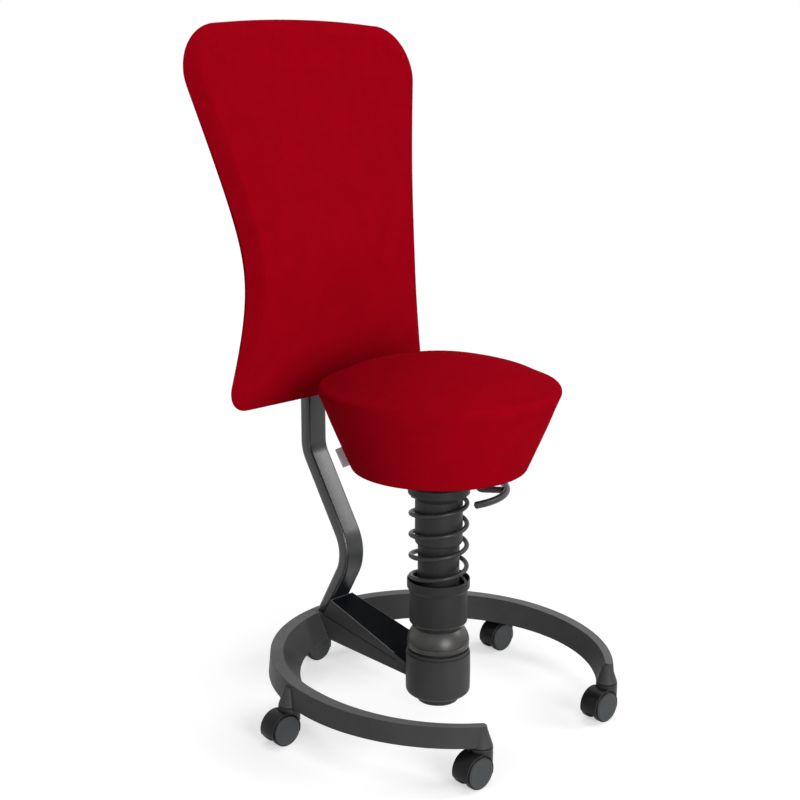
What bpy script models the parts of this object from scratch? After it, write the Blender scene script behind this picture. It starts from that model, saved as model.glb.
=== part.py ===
# Spring balance stool: an open ring base on five castors, a leaning sprung column,
# a round seat and a tall backrest on a bent mast. The front faces -Y.
import math

import bmesh
import bpy
from mathutils import Matrix, Vector

for item in list(bpy.data.objects):
    bpy.data.objects.remove(item, do_unlink=True)

# Clearances
GAP = 0.0003
TURN_GAP = 0.0005
BALL_GAP = 0.0008
SKIRT_GAP = 0.0009

# Facets round a turned piece
SIDES = 28
SMALL_SIDES = 20
PIN_SIDES = 12
WHEEL_SIDES = 20
CUSHION_SIDES = 40

# Castors
WHEEL_R = 0.0267
WHEEL_WIDTH = 0.0119
WHEEL_RIM = 0.0024
WHEEL_DOME = 0.0008
WHEEL_SHOULDER = 0.0020
AXLE_R = 0.003
AXLE_COVER = 0.0022
CASTOR_WEB = 0.015
HOOD_ROOM = 0.001
HOOD_WALL = 0.0013
HOOD_REVEAL = 0.0030
HOOD_BACK_STEPS = 2
HOOD_FRONT_STEPS = 1
CASTOR_TRAIL = 0.0183
CASTOR_YAW = math.radians(175.6)
NECK_R = 0.018
NECK_RISE = 0.0339
NECK_DEPTH = 0.0245
NECK_GAP = 0.0012
STEM_R = 0.0055
STEM_IN_NECK = 0.013
STEM_IN_RING = 0.020

# Base ring
RING_HALF_WIDTH = 0.283
RING_HALF_LENGTH = 0.3011
RING_CENTRE_Y = -0.005
RING_BAND = 0.0135
RING_HEIGHT = 0.0373
RING_OUTER_FLARE = 0.0035
RING_FRONT_FLARE = 0.0105
RING_BACK_FLARE = 0.0415
RING_END = math.radians(36.2)
RING_STEPS = 40
RING_CAP_STEPS = 6
BOSS_TIP_R = 0.0078
BOSS_DROP = 0.0006
BOSS_BELOW_TOP = 0.007
FRONT_CASTOR_INSET = 0.0096
SIDE_CASTOR = math.radians(106.5)

# Foot and tilting joint
PIVOT_DROP = 0.024
BALL_R = 0.022
STUD_R = 0.013
LINER_WALL = 0.0049
LINER_MOUTH = math.radians(45)
LINER_TAIL = math.radians(150)
BEARING_R = 0.0455
BEARING_RISE = 0.0185
FOOT_WALL = 0.0097
FOOT_RIM_STEP = 0.002
FOOT_RIM_HEIGHT = 0.006
FOOT_HEIGHT = 0.073
FOOT_FLOOR = 0.008
FOOT_BASE_R = 0.0385
FOOT_CURVE = 0.0115
JOINT_SPHERE_R = 0.0655
COLLAR_R = 0.0533
COLLAR_NECK_R = 0.0495
COLLAR_NECK = 0.0032
COLLAR_BORE_R = 0.0405
SKIRT_LIP = math.radians(52)
SKIRT_THROAT = math.radians(25)
SKIRT_LIP_WALL = 0.0014
SKIRT_TOP_R = 0.0416
SKIRT_RISE = 0.0622
DIAL_R = 0.0335
DIAL_HEIGHT = 0.011
DIAL_STUD_R = 0.006
DIAL_NUB_WIDTH = 0.006
DIAL_NUB_REACH = 0.003
DIAL_NUB_TURN = math.radians(-32.5)

# Arm, bracket and mast
ARM_HALF_WIDTH = 0.041
ARM_TOP_HALF = 0.028
ARM_CREASE_DROP = 0.0107
ARM_FOOT_DEPTH = 0.0125
ARM_SINK = 0.0005
BRACKET_FOOT_RISE = 0.0065
BRACKET_MAST_RISE = 0.0285
BRACKET_TOP_HALF = 0.0215
BRACKET_INSET = 0.0237
COVER_LIP = 0.003
COVER_SINK = 0.001
COVER_T = 0.0028
MAST_WIDTH = 0.037
MAST_T = 0.022
MAST_CORNER_R = 0.006
MAST_INSET = 0.0106
MAST_KNEE_FORWARD = 0.0696
MAST_KNEE_RISE = 0.1235
MAST_SHOULDER_BACK = 0.0384
MAST_SHOULDER_RISE = 0.3014
MAST_RISE = 0.651
MAST_KNEE_R = 0.075
MAST_SHOULDER_R = 0.06

# Backrest
BACK_HEIGHT = 0.643
BACK_WAIST_HALF = 0.1964
BACK_TOP_HALF = 0.2585
BACK_FLARE = 0.28
BACK_FLARE_EASE = 0.12
BACK_WAIST_RISE = 0.225
BACK_BOTTOM_R = 0.046
BACK_TOP_R = 0.085
BACK_ARCH = 0.0075
BACK_SIDE_STEPS = 11
BACK_CORNER_STEPS = 6
BACK_EDGE_STEPS = 3
LUMBAR_RISE = 0.215
LUMBAR_EASE = 0.10
BACK_UPPER_LEAN = 0.285
BACK_LOWER_LEAN = 0.194
BACK_EDGE_T = 0.020
BACK_WAIST_EXTRA_T = 0.022
BACK_BORDER = 0.015
BACK_CROWN = 0.004
BOARD_INSET = 0.026
BOARD_T = 0.006
BACK_COVER_T = 0.010
BACK_COVER_ROUND = 0.016
MAST_CLEAR = 0.016
CLAMP_HALF_WIDTH = 0.038
CLAMP_HEIGHT = 0.112
CLAMP_WALL = 0.010
CLAMP_STEP = 0.004
CLAMP_ABOVE_BACK_BOTTOM = 0.136
CLAMP_RISE = 0.547
KNOB_R = 0.018
KNOB_T = 0.014
KNOB_STUD_R = 0.004

# Sprung column
CUP_BASE_R = 0.043
CUP_R = 0.0497
CUP_CHAMFER = 0.010
CUP_HEIGHT = 0.092
CUP_FLOOR = 0.018
CUP_STUD_DEPTH = 0.0108
CUP_RIM_R = 0.0537
CUP_RIM_WALL = 0.0016
CUP_RIM_HEIGHT = 0.015
CUP_RIM_CONE = 0.005
CUP_MOUTH_DEPTH = 0.017
LOWER_TUBE_R = 0.0356
LOWER_TUBE_WALL = 0.0033
BUSH_WALL = 0.0023
BUSH_HEIGHT = 0.022
BUSH_INSET = 0.003
UPPER_TUBE_WALL = 0.002
UPPER_TUBE_LENGTH = 0.092
UPPER_TUBE_CHAMFER = 0.0012
CAP_RISE = 0.1585
CAP_SOCKET = 0.0148
CAP_LIP = 0.0007
CAP_R = 0.0525
CAP_CONE = 0.010
CAP_HEIGHT = 0.024
CAP_CHAMFER = 0.002
BOUNCE_TRAVEL = 0.040
BUMP_GAP = 0.0038
WIRE_R = 0.0041
COIL_R = 0.0474
COIL_TURNS = 4.65
COIL_EASE = 0.6
COIL_START = math.radians(-123)
COIL_POINTS = 10
STAND_R = 0.0245
STAND_WALL = 0.0025
STAND_FLOOR = 0.006
STAND_NECK = 0.030
ROD_R = 0.005
CYLINDER_R = 0.014
CYLINDER_LENGTH = 0.207
CYLINDER_CROWN = 0.030
CYLINDER_GRIP = 0.020
LIFT_TRAVEL = 0.050
LIFT_SPARE = 0.007
BUTTON_R = 0.0045
BUTTON_RISE = 0.0072
BUTTON_DEPTH = 0.0055
BUTTON_TRAVEL = 0.0047

# Seat and lever
HUB_WALL = 0.0077
HUB_LEDGE = 0.0018
HUB_LEDGE_R = 0.0075
PLATE_HALF = 0.075
PLATE_T = 0.004
PLATE_CORNER_R = 0.018
PAN_R = 0.1215
PAN_T = 0.006
SEAT_RIM_R = 0.2058
SEAT_RIM_RISE = 0.0609
SEAT_RIM_ROUND = 0.012
SEAT_CROWN = 0.0525
SEAT_CROWN_POWER = 1.6
SEAT_CROWN_STEPS = 8
SEAT_DROP = 0.0783
SEAT_BOTTOM_R = 0.1464
SEAT_BOTTOM_ROUND = 0.006
TAG_LENGTH = 0.034
TAG_REACH = 0.013
TAG_T = 0.0012
TAG_RISE = 0.004
TAG_TURN = math.radians(135)
LEVER_TURN = math.radians(-53)
LEVER_BAR_T = 0.006
LEVER_BAR_HALF = 0.005
LEVER_TIP = 0.003
LEVER_HEADROOM = 0.004
LEVER_SWING_ROOM = 0.0034
LEVER_PIVOT_R = 0.045
LEVER_RISER_R = 0.064
LEVER_BEND_R = 0.010
LEVER_DROP = 0.0945
LEVER_HANDLE_R = 0.113
LEVER_HANDLE_HALF = math.radians(52)
LEVER_HANDLE_STEPS = 16
LEVER_ROD_R = 0.0055
LEVER_GRIP_R = 0.006
LEVER_PIN_R = 0.0025
CHEEK_T = 0.003
CHEEK_HALF_LENGTH = 0.008
CHEEK_DROP = 0.0045
WEB_T = 0.0032

# Heights that follow, from the floor up
AXLE_Z = WHEEL_R * math.cos(math.pi / WHEEL_SIDES)
NECK_TOP = AXLE_Z + NECK_RISE
BOSS_BOTTOM = NECK_TOP + NECK_GAP
RING_BOTTOM = BOSS_BOTTOM + BOSS_DROP
RING_TOP = RING_BOTTOM + RING_HEIGHT
PIVOT_Z = RING_TOP - PIVOT_DROP
FOOT_TOP = PIVOT_Z + BEARING_RISE
FOOT_BOTTOM = FOOT_TOP - FOOT_HEIGHT
SKIRT_TOP = PIVOT_Z + SKIRT_RISE
CUP_BOTTOM = SKIRT_TOP + GAP
CUP_TOP = CUP_BOTTOM + CUP_HEIGHT
CUP_FLOOR_Z = CUP_BOTTOM + CUP_FLOOR
CUP_LEDGE_Z = CUP_TOP - CUP_MOUTH_DEPTH
CAP_BOTTOM = CUP_LEDGE_Z + CAP_RISE
CAP_PLATE_Z = CAP_BOTTOM + CAP_SOCKET
CAP_TOP = CAP_BOTTOM + CAP_HEIGHT
LOWER_TUBE_TOP = CAP_PLATE_Z - BOUNCE_TRAVEL - BUMP_GAP
STAND_BOTTOM = CUP_FLOOR_Z + BOUNCE_TRAVEL + BUMP_GAP
HUB_BOTTOM = CAP_TOP + LIFT_TRAVEL + LIFT_SPARE
CYLINDER_TOP = HUB_BOTTOM + CYLINDER_GRIP
CYLINDER_BOTTOM = CYLINDER_TOP - CYLINDER_LENGTH
BUTTON_TOP = CYLINDER_TOP + BUTTON_RISE
BAR_BOTTOM = BUTTON_TOP + GAP
BAR_TOP = BAR_BOTTOM + LEVER_BAR_T
BAR_Z = BAR_BOTTOM + LEVER_BAR_T / 2
HUB_TOP = BAR_TOP + LEVER_HEADROOM + WEB_T
PLATE_BOTTOM = HUB_TOP + GAP
PLATE_TOP = PLATE_BOTTOM + PLATE_T
PAN_BOTTOM = PLATE_TOP + GAP
PAN_TOP = PAN_BOTTOM + PAN_T
SEAT_RIM_Z = PAN_TOP + SEAT_RIM_RISE
SEAT_BOTTOM_Z = PAN_TOP - SEAT_DROP

# Radii that follow, from the inside out
LINER_BORE = BALL_R + BALL_GAP
LINER_R = LINER_BORE + LINER_WALL
BEARING_BORE = LINER_R + BALL_GAP
FOOT_BORE = BEARING_R + GAP
FOOT_R = FOOT_BORE + FOOT_WALL
SKIRT_SPHERE_R = JOINT_SPHERE_R + SKIRT_GAP
BUSH_BORE = LOWER_TUBE_R + GAP
UPPER_TUBE_BORE = BUSH_BORE + BUSH_WALL + GAP
UPPER_TUBE_R = UPPER_TUBE_BORE + UPPER_TUBE_WALL
CAP_BORE = UPPER_TUBE_R + GAP
HUB_BORE = CYLINDER_R + GAP
HUB_R = HUB_BORE + HUB_WALL
RECESS_R = PAN_R + GAP
RING_RATIO = RING_HALF_LENGTH / RING_HALF_WIDTH

# Colour, roughness and metallic value of each finish
LOOKS = {
    "red_fabric": ((0.31, 0.0, 0.007), 0.85, 0.0),
    "grey_paint": ((0.075, 0.077, 0.08), 0.45, 0.3),
    "dark_paint": ((0.035, 0.036, 0.038), 0.5, 0.2),
    "black_panel": ((0.008, 0.009, 0.011), 0.4, 0.0),
    "rubber": ((0.012, 0.012, 0.013), 0.35, 0.0),
    "black_plastic": ((0.01, 0.01, 0.011), 0.25, 0.0),
    "grey_plastic": ((0.16, 0.16, 0.165), 0.5, 0.0),
    "steel": ((0.5, 0.5, 0.52), 0.3, 1.0),
    "board": ((0.3, 0.2, 0.11), 0.7, 0.0),
    "label": ((0.45, 0.46, 0.47), 0.7, 0.0),
}

where = {}


def joint(name, position, parent=None, turn=0.0):
    empty = bpy.data.objects.new(name, None)
    bpy.context.collection.objects.link(empty)
    where[name] = Vector(position)
    if parent is not None:
        empty.parent = parent
        empty.location = Vector(position) - where[parent.name]
    empty.rotation_euler.z = turn
    return empty


def addMaterial(name, look):
    colour, roughness, metallic = LOOKS[look]
    surface = bpy.data.materials.new(name)
    surface.use_nodes = True
    shader = surface.node_tree.nodes["Principled BSDF"]
    shader.inputs["Base Color"].default_value = (*colour, 1.0)
    shader.inputs["Roughness"].default_value = roughness
    shader.inputs["Metallic"].default_value = metallic
    return surface


# A piece is modelled where it stands and then held by the empty on its joint.
def addPiece(name, bm, look, parent):
    bmesh.ops.translate(bm, vec=-where[parent.name], verts=bm.verts)
    mesh = bpy.data.meshes.new(name)
    bm.to_mesh(mesh)
    bm.free()
    mesh.shade_smooth()
    mesh.set_sharp_from_angle(angle=math.radians(30))
    mesh.materials.append(addMaterial(name, look))
    return addCopy(name, mesh, parent)


def addCopy(name, mesh, parent):
    piece = bpy.data.objects.new(name, mesh)
    bpy.context.collection.objects.link(piece)
    piece.parent = parent
    return piece


def addHelper(name, bm, parent):
    bmesh.ops.translate(bm, vec=-where[parent.name], verts=bm.verts)
    mesh = bpy.data.meshes.new(name)
    bm.to_mesh(mesh)
    bm.free()
    helper = addCopy(name, mesh, parent)
    helper.hide_render = True
    helper.display_type = "WIRE"
    return helper


def combine(piece, helper, operation):
    step = piece.modifiers.new(helper.name, "BOOLEAN")
    step.operation = operation
    step.solver = "EXACT"
    step.object = helper


def closeUp(bm):
    bmesh.ops.remove_doubles(bm, verts=bm.verts, dist=0.000001)
    bmesh.ops.recalc_face_normals(bm, faces=bm.faces)
    return bm


# A closed (radius, height) outline turned about Z.
def turned(outline, sides=SIDES, start=0.0):
    bm = bmesh.new()
    points = [bm.verts.new((r * math.cos(start), r * math.sin(start), z)) for r, z in outline]
    edges = []
    for first, second in zip(points, points[1:] + points[:1]):
        if first.co.xy.length > 0.0 or second.co.xy.length > 0.0:
            edges.append(bm.edges.new((first, second)))
    bmesh.ops.spin(bm, geom=points + edges, axis=(0, 0, 1), cent=(0, 0, 0),
                   angle=math.tau, steps=sides, dvec=(0, 0, 0))
    return closeUp(bm)


def cylinder(radius, low, high, sides=SMALL_SIDES):
    return turned([(0, low), (radius, low), (radius, high), (0, high)], sides)


def sleeve(bore, radius, low, high, sides=SIDES):
    return turned([(bore, low), (radius, low), (radius, high), (bore, high)], sides)


def block(low, high):
    bm = bmesh.new()
    bmesh.ops.create_cube(bm, size=1.0)
    low, high = Vector(low), Vector(high)
    bmesh.ops.scale(bm, vec=high - low, verts=bm.verts)
    bmesh.ops.translate(bm, vec=(low + high) / 2, verts=bm.verts)
    return bm


def swung(bm, angle, axis="Z"):
    bmesh.ops.rotate(bm, cent=(0, 0, 0), matrix=Matrix.Rotation(angle, 3, axis), verts=bm.verts)
    return bm


def shifted(bm, offset):
    bmesh.ops.translate(bm, vec=offset, verts=bm.verts)
    return bm


def merged(meshes):
    whole = bmesh.new()
    for bm in meshes:
        piece = bpy.data.meshes.new("merged")
        bm.to_mesh(piece)
        bm.free()
        whole.from_mesh(piece)
        bpy.data.meshes.remove(piece)
    return whole


# Matching loops of points joined by quads and closed at both ends.
def lofted(loops):
    bm = bmesh.new()
    rows = [[bm.verts.new(point) for point in loop] for loop in loops]
    count = len(rows[0])
    for low, high in zip(rows, rows[1:]):
        for i in range(count):
            j = (i + 1) % count
            bm.faces.new((low[i], low[j], high[j], high[i]))
    bm.faces.new(rows[0])
    bm.faces.new(rows[-1])
    return closeUp(bm)


# A section carried along a flat path, its first direction square to the path's plane.
def swept(path, section, across):
    across = Vector(across).normalized()
    path = [Vector(point) for point in path]
    loops = []
    for i, point in enumerate(path):
        before = path[max(i - 1, 0)]
        after = path[min(i + 1, len(path) - 1)]
        inward = (after - before).normalized().cross(across)
        loops.append([point + across * a + inward * b for a, b in section])
    return lofted(loops)


def circleSection(radius, sides):
    turns = [math.tau * i / sides for i in range(sides)]
    return [(radius * math.cos(a), radius * math.sin(a)) for a in turns]


def roundedSection(width, depth, corner, steps=3):
    points = []
    for quarter, (sx, sy) in enumerate(((1, 1), (-1, 1), (-1, -1), (1, -1))):
        for i in range(steps + 1):
            angle = math.pi / 2 * (quarter + i / steps)
            points.append((sx * (width / 2 - corner) + corner * math.cos(angle),
                           sy * (depth / 2 - corner) + corner * math.sin(angle)))
    return points


# A path of straight runs with each inner corner rounded to its radius.
def roundedPath(points, radii, steps=6):
    points = [Vector(point) for point in points]
    path = [points[0]]
    for before, corner, after, radius in zip(points, points[1:], points[2:], radii):
        back = (before - corner).normalized()
        ahead = (after - corner).normalized()
        half = back.angle(ahead) / 2
        reach = radius / math.tan(half)
        centre = corner + (back + ahead).normalized() * radius / math.sin(half)
        start = corner + back * reach - centre
        end = corner + ahead * reach - centre
        for i in range(steps + 1):
            path.append(centre + Matrix.Rotation(start.angle(end) * i / steps, 3, start.cross(end)) @ start)
    path.append(points[-1])
    return path


def straightLine(low, high, at):
    share = (at - low[0]) / (high[0] - low[0])
    return low[1] + (high[1] - low[1]) * share


stool = joint("stool", (0, 0, 0))


# Base ring: a flat top band, steep outer side and an inner side that widens to the back.
def ringPoint(angle, reach, z):
    return Vector((-reach * math.sin(angle), -reach * RING_RATIO * math.cos(angle) + RING_CENTRE_Y, z))


def innerFlare(angle):
    share = (1 - math.cos(angle)) / 2
    return RING_FRONT_FLARE + (RING_BACK_FLARE - RING_FRONT_FLARE) * share


def ringLevel(grow, z):
    flareShare = (RING_TOP - z) / RING_HEIGHT
    angles = [RING_END + (math.tau - 2 * RING_END) * i / RING_STEPS for i in range(RING_STEPS + 1)]
    outer = []
    inner = []
    for angle in angles:
        wide = RING_HALF_WIDTH + RING_OUTER_FLARE * flareShare + grow
        narrow = RING_HALF_WIDTH - RING_BAND - innerFlare(angle) * flareShare - grow
        outer.append(ringPoint(angle, wide, z))
        inner.append(ringPoint(angle, narrow, z))
    caps = []
    for near, far, following in ((outer[-1], inner[-1], outer[-2]), (inner[0], outer[0], inner[1])):
        middle = (near + far) / 2
        spoke = near - middle
        forward = (near - following).normalized()
        forward = (forward - spoke * forward.dot(spoke) / spoke.length_squared).normalized()
        arc = []
        for i in range(1, RING_CAP_STEPS):
            turn = math.pi * i / RING_CAP_STEPS
            arc.append(middle + spoke * math.cos(turn) + forward * spoke.length * math.sin(turn))
        caps.append(arc)
    return outer, inner, caps


def ringSolid(grow=0.0):
    bm = bmesh.new()
    levels = []
    for z in (RING_TOP + grow, RING_BOTTOM - grow):
        outer, inner, caps = ringLevel(grow, z)
        outer = [bm.verts.new(point) for point in outer]
        inner = [bm.verts.new(point) for point in inner]
        caps = [[bm.verts.new(point) for point in arc] for arc in caps]
        for i in range(RING_STEPS):
            bm.faces.new((outer[i], outer[i + 1], inner[i + 1], inner[i]))
        bm.faces.new([outer[-1]] + caps[0] + [inner[-1]])
        bm.faces.new([inner[0]] + caps[1] + [outer[0]])
        levels.append(outer + caps[0] + inner[::-1] + caps[1])
    count = len(levels[0])
    for i in range(count):
        j = (i + 1) % count
        bm.faces.new((levels[0][i], levels[0][j], levels[1][j], levels[1][i]))
    return closeUp(bm)


castorPoints = {
    "castor_front_right": ringPoint(RING_END, RING_HALF_WIDTH - FRONT_CASTOR_INSET, 0.0),
    "castor_side_right": ringPoint(SIDE_CASTOR, RING_HALF_WIDTH, 0.0),
    "castor_back": ringPoint(math.pi, RING_HALF_WIDTH, 0.0),
    "castor_side_left": ringPoint(-SIDE_CASTOR, RING_HALF_WIDTH, 0.0),
    "castor_front_left": ringPoint(-RING_END, RING_HALF_WIDTH - FRONT_CASTOR_INSET, 0.0),
}

baseRing = addPiece("base_ring", ringSolid(), "grey_paint", stool)
bossOutline = [(0, BOSS_BOTTOM), (NECK_R, BOSS_BOTTOM), (BOSS_TIP_R, RING_TOP - BOSS_BELOW_TOP),
               (0, RING_TOP - BOSS_BELOW_TOP)]
bosses = addHelper("ring_bosses", merged([shifted(turned(bossOutline, SMALL_SIDES), point)
                                          for point in castorPoints.values()]), stool)
combine(baseRing, bosses, "UNION")
STEM_TOP = RING_BOTTOM + STEM_IN_RING
STEM_BOTTOM = NECK_TOP - STEM_IN_NECK
sockets = addHelper("ring_sockets", merged([shifted(cylinder(STEM_R + GAP, NECK_TOP,
                                                             STEM_TOP + GAP, PIN_SIDES), point)
                                            for point in castorPoints.values()]), stool)
combine(baseRing, sockets, "DIFFERENCE")

# Foot housing with its rubber block, collar and the dial below.
footCorner = [(FOOT_BASE_R + (FOOT_R - FOOT_BASE_R) * math.sin(a), FOOT_BOTTOM + FOOT_CURVE * (1 - math.cos(a)))
              for a in [math.pi / 2 * i / 5 for i in range(6)]]
footOutline = [(DIAL_STUD_R + TURN_GAP, FOOT_BOTTOM)] + footCorner
footOutline += [(FOOT_R, FOOT_TOP - FOOT_RIM_HEIGHT),
                (FOOT_R - FOOT_RIM_STEP, FOOT_TOP - FOOT_RIM_HEIGHT + FOOT_RIM_STEP),
                (FOOT_R - FOOT_RIM_STEP, FOOT_TOP), (FOOT_BORE, FOOT_TOP),
                (FOOT_BORE, FOOT_BOTTOM + FOOT_FLOOR), (DIAL_STUD_R + TURN_GAP, FOOT_BOTTOM + FOOT_FLOOR)]
addPiece("foot_housing", turned(footOutline, SIDES), "dark_paint", stool)


def sphereArc(radius, start, end, steps):
    turns = [start + (end - start) * i / steps for i in range(steps + 1)]
    return [(radius * math.sin(a), PIVOT_Z + radius * math.cos(a)) for a in turns]


bearingMouth = math.acos(BEARING_RISE / BEARING_BORE)
bearingOutline = sphereArc(BEARING_BORE, bearingMouth, math.pi, 7)
bearingOutline[-1] = (0, PIVOT_Z - BEARING_BORE)
bearingOutline += [(0, FOOT_BOTTOM + FOOT_FLOOR + GAP), (BEARING_R, FOOT_BOTTOM + FOOT_FLOOR + GAP),
                   (BEARING_R, FOOT_TOP)]
addPiece("rubber_bearing", turned(bearingOutline, SMALL_SIDES), "rubber", stool)

collarBase = FOOT_TOP + GAP
collarShoulder = collarBase + COLLAR_NECK
collarBulgeTop = PIVOT_Z + math.sqrt(JOINT_SPHERE_R ** 2 - COLLAR_R ** 2)
collarBulge = collarBulgeTop - collarShoulder
collarOutline = [(COLLAR_BORE_R, collarBase), (COLLAR_NECK_R, collarBase), (COLLAR_NECK_R, collarShoulder)]
collarOutline += [(COLLAR_R - (COLLAR_R - COLLAR_NECK_R) * share ** 2, collarShoulder + collarBulge * rise)
                  for share, rise in ((0.7, 0.12), (0.35, 0.32), (0.0, 0.6))]
collarOutline += sphereArc(JOINT_SPHERE_R, math.asin(COLLAR_R / JOINT_SPHERE_R),
                           math.asin(COLLAR_BORE_R / JOINT_SPHERE_R), 5)
addPiece("rubber_collar", turned(collarOutline, SIDES), "rubber", stool)

dialAxis = joint("dial_axis", (0, 0, FOOT_BOTTOM), stool)
dialTop = FOOT_BOTTOM - GAP
dialOutline = [(0, dialTop - DIAL_HEIGHT), (DIAL_R, dialTop - DIAL_HEIGHT), (DIAL_R, dialTop),
               (DIAL_STUD_R, dialTop), (DIAL_STUD_R, FOOT_BOTTOM + FOOT_FLOOR), (0, FOOT_BOTTOM + FOOT_FLOOR)]
dial = addPiece("tension_dial", turned(dialOutline, SMALL_SIDES), "black_plastic", dialAxis)
nub = block((-DIAL_NUB_WIDTH / 2, -DIAL_R - DIAL_NUB_REACH, dialTop - DIAL_HEIGHT - DIAL_NUB_REACH / 3),
            (DIAL_NUB_WIDTH / 2, -DIAL_R / 2, dialTop - DIAL_NUB_REACH / 3))
combine(dial, addHelper("dial_nub", swung(nub, DIAL_NUB_TURN), dialAxis), "UNION")

# Arm: a box beam from the ring's back to the foot, with a wedge bracket on top for the mast.
ringBackY = ringPoint(math.pi, RING_HALF_WIDTH - RING_BAND, 0.0).y
armAngle = math.pi - math.asin(ARM_HALF_WIDTH / (RING_HALF_WIDTH - RING_BAND))
armEndY = ringPoint(armAngle, RING_HALF_WIDTH - RING_BAND - GAP, 0.0).y
armStartY = math.sqrt(FOOT_R ** 2 - ARM_HALF_WIDTH ** 2) * 0.8
bracketBackY = ringBackY - BRACKET_INSET
creaseBack = (bracketBackY, RING_TOP - ARM_SINK)
creaseFront = (armStartY, PIVOT_Z - ARM_CREASE_DROP)
soleFront = (armStartY, creaseFront[1] - ARM_FOOT_DEPTH)
soleBack = (ringPoint(math.pi, RING_HALF_WIDTH - RING_BAND - RING_BACK_FLARE, 0.0).y, RING_BOTTOM)


def fourCorners(y, low, high, lowHalf, highHalf):
    return [(-lowHalf, y, low), (lowHalf, y, low), (highHalf, y, high), (-highHalf, y, high)]


def armTopHalf(y):
    return straightLine((armStartY, ARM_HALF_WIDTH), (armEndY, ARM_TOP_HALF), y)


arm = addPiece("base_arm", lofted([
    fourCorners(y, straightLine(soleFront, soleBack, y), crease[1] - GAP, ARM_HALF_WIDTH, armTopHalf(y))
    for y, crease in ((armStartY, creaseFront), (bracketBackY, creaseBack), (armEndY, creaseBack))]),
    "grey_paint", stool)
combine(arm, addHelper("arm_ring_cut", ringSolid(GAP), stool), "DIFFERENCE")
footClear = addHelper("arm_foot_cut", cylinder(FOOT_R + GAP, 0.0, CUP_TOP, SIDES), stool)
combine(arm, footClear, "DIFFERENCE")

mastFoot = Vector((0, ringBackY - MAST_INSET, RING_TOP))
mastKnee = Vector((0, ringBackY - MAST_KNEE_FORWARD - MAST_INSET, RING_TOP + MAST_KNEE_RISE))
mastShoulder = Vector((0, ringBackY - MAST_INSET + MAST_SHOULDER_BACK, RING_TOP + MAST_SHOULDER_RISE))
mastTop = Vector((0, mastShoulder.y, RING_TOP + MAST_RISE))


mastLine = mastKnee - mastFoot
mastSlope = mastLine.y / mastLine.z
mastHalfRun = MAST_T / 2 / (mastLine.z / mastLine.length)


def mastBar(grow):
    section = roundedSection(MAST_WIDTH + 2 * grow, MAST_T + 2 * grow, MAST_CORNER_R + grow)
    foot = mastFoot - mastLine.normalized() * MAST_T
    path = roundedPath([foot, mastKnee, mastShoulder, mastTop], (MAST_KNEE_R, MAST_SHOULDER_R))
    return swept(path, section, (1, 0, 0))


mast = addPiece("mast", mastBar(0.0), "grey_paint", stool)
mastSole = block((-MAST_WIDTH, 0.0, 0.0), (MAST_WIDTH, 2 * ringBackY, RING_TOP + GAP))
combine(mast, addHelper("mast_sole_cut", mastSole, stool), "DIFFERENCE")

bracketTop = RING_TOP + BRACKET_MAST_RISE
ridgeFront = (armStartY, PIVOT_Z + BRACKET_FOOT_RISE)


def ridgePoint(share, side, drop):
    half = ARM_HALF_WIDTH + (BRACKET_TOP_HALF - ARM_HALF_WIDTH) * share - side
    y = armStartY + (bracketBackY - armStartY) * share
    z = ridgeFront[1] + (bracketTop - ridgeFront[1]) * share - drop
    return half, y, z


bracketFront = ridgePoint(0.0, 0.0, 0.0)
bracketBack = ridgePoint(1.0, 0.0, 0.0)
bracket = addPiece("arm_bracket", lofted([
    fourCorners(armStartY, creaseFront[1], bracketFront[2], ARM_HALF_WIDTH, bracketFront[0]),
    fourCorners(bracketBackY, creaseBack[1], bracketBack[2], armTopHalf(bracketBackY), bracketBack[0])]),
    "grey_paint", stool)
combine(bracket, footClear, "DIFFERENCE")
combine(bracket, addHelper("bracket_mast_cut", mastBar(GAP), stool), "DIFFERENCE")

coverShare = (mastFoot.y + mastSlope * (bracketTop - mastFoot.z) - mastHalfRun - COVER_LIP - armStartY) \
    / (bracketBackY - armStartY)


def coverSlab(inset, low, high, endInset):
    loops = []
    for share in (0.0, coverShare - endInset / (bracketBackY - armStartY)):
        half, y, z = ridgePoint(share, COVER_LIP + inset, 0.0)
        loops.append(fourCorners(y, z - low, z + high, half, half))
    return lofted(loops)


combine(bracket, addHelper("bracket_cover_cut", coverSlab(0.0, COVER_SINK + COVER_T + GAP, COVER_T, 0.0), stool),
        "DIFFERENCE")
cover = addPiece("arm_cover", coverSlab(GAP, COVER_SINK + COVER_T, -COVER_SINK, GAP), "black_panel", stool)
combine(cover, footClear, "DIFFERENCE")

# Backrest: an hourglass outline on a front that leans back above and below the lumbar line.
CLAMP_Z = RING_TOP + CLAMP_RISE
BACK_BOTTOM = CLAMP_Z - CLAMP_ABOVE_BACK_BOTTOM
BACK_TOP = BACK_BOTTOM + BACK_HEIGHT
LUMBAR_Z = BACK_BOTTOM + LUMBAR_RISE
BACK_WAIST_Z = BACK_BOTTOM + BACK_WAIST_RISE
BACK_MIDDLE_Z = (BACK_BOTTOM + BACK_TOP) / 2


def backLean(z):
    lean = BACK_UPPER_LEAN if z > LUMBAR_Z else BACK_LOWER_LEAN
    return lean * (math.hypot(z - LUMBAR_Z, LUMBAR_EASE) - LUMBAR_EASE)


def backEdge(z):
    return BACK_EDGE_T + BACK_WAIST_EXTRA_T * max(0.0, math.cos(math.pi * (z - BACK_MIDDLE_Z) / BACK_HEIGHT))


def backHalf(z):
    wide = BACK_WAIST_HALF + BACK_FLARE * (math.hypot(z - BACK_WAIST_Z, BACK_FLARE_EASE) - BACK_FLARE_EASE)
    return min(wide, BACK_TOP_HALF)


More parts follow.
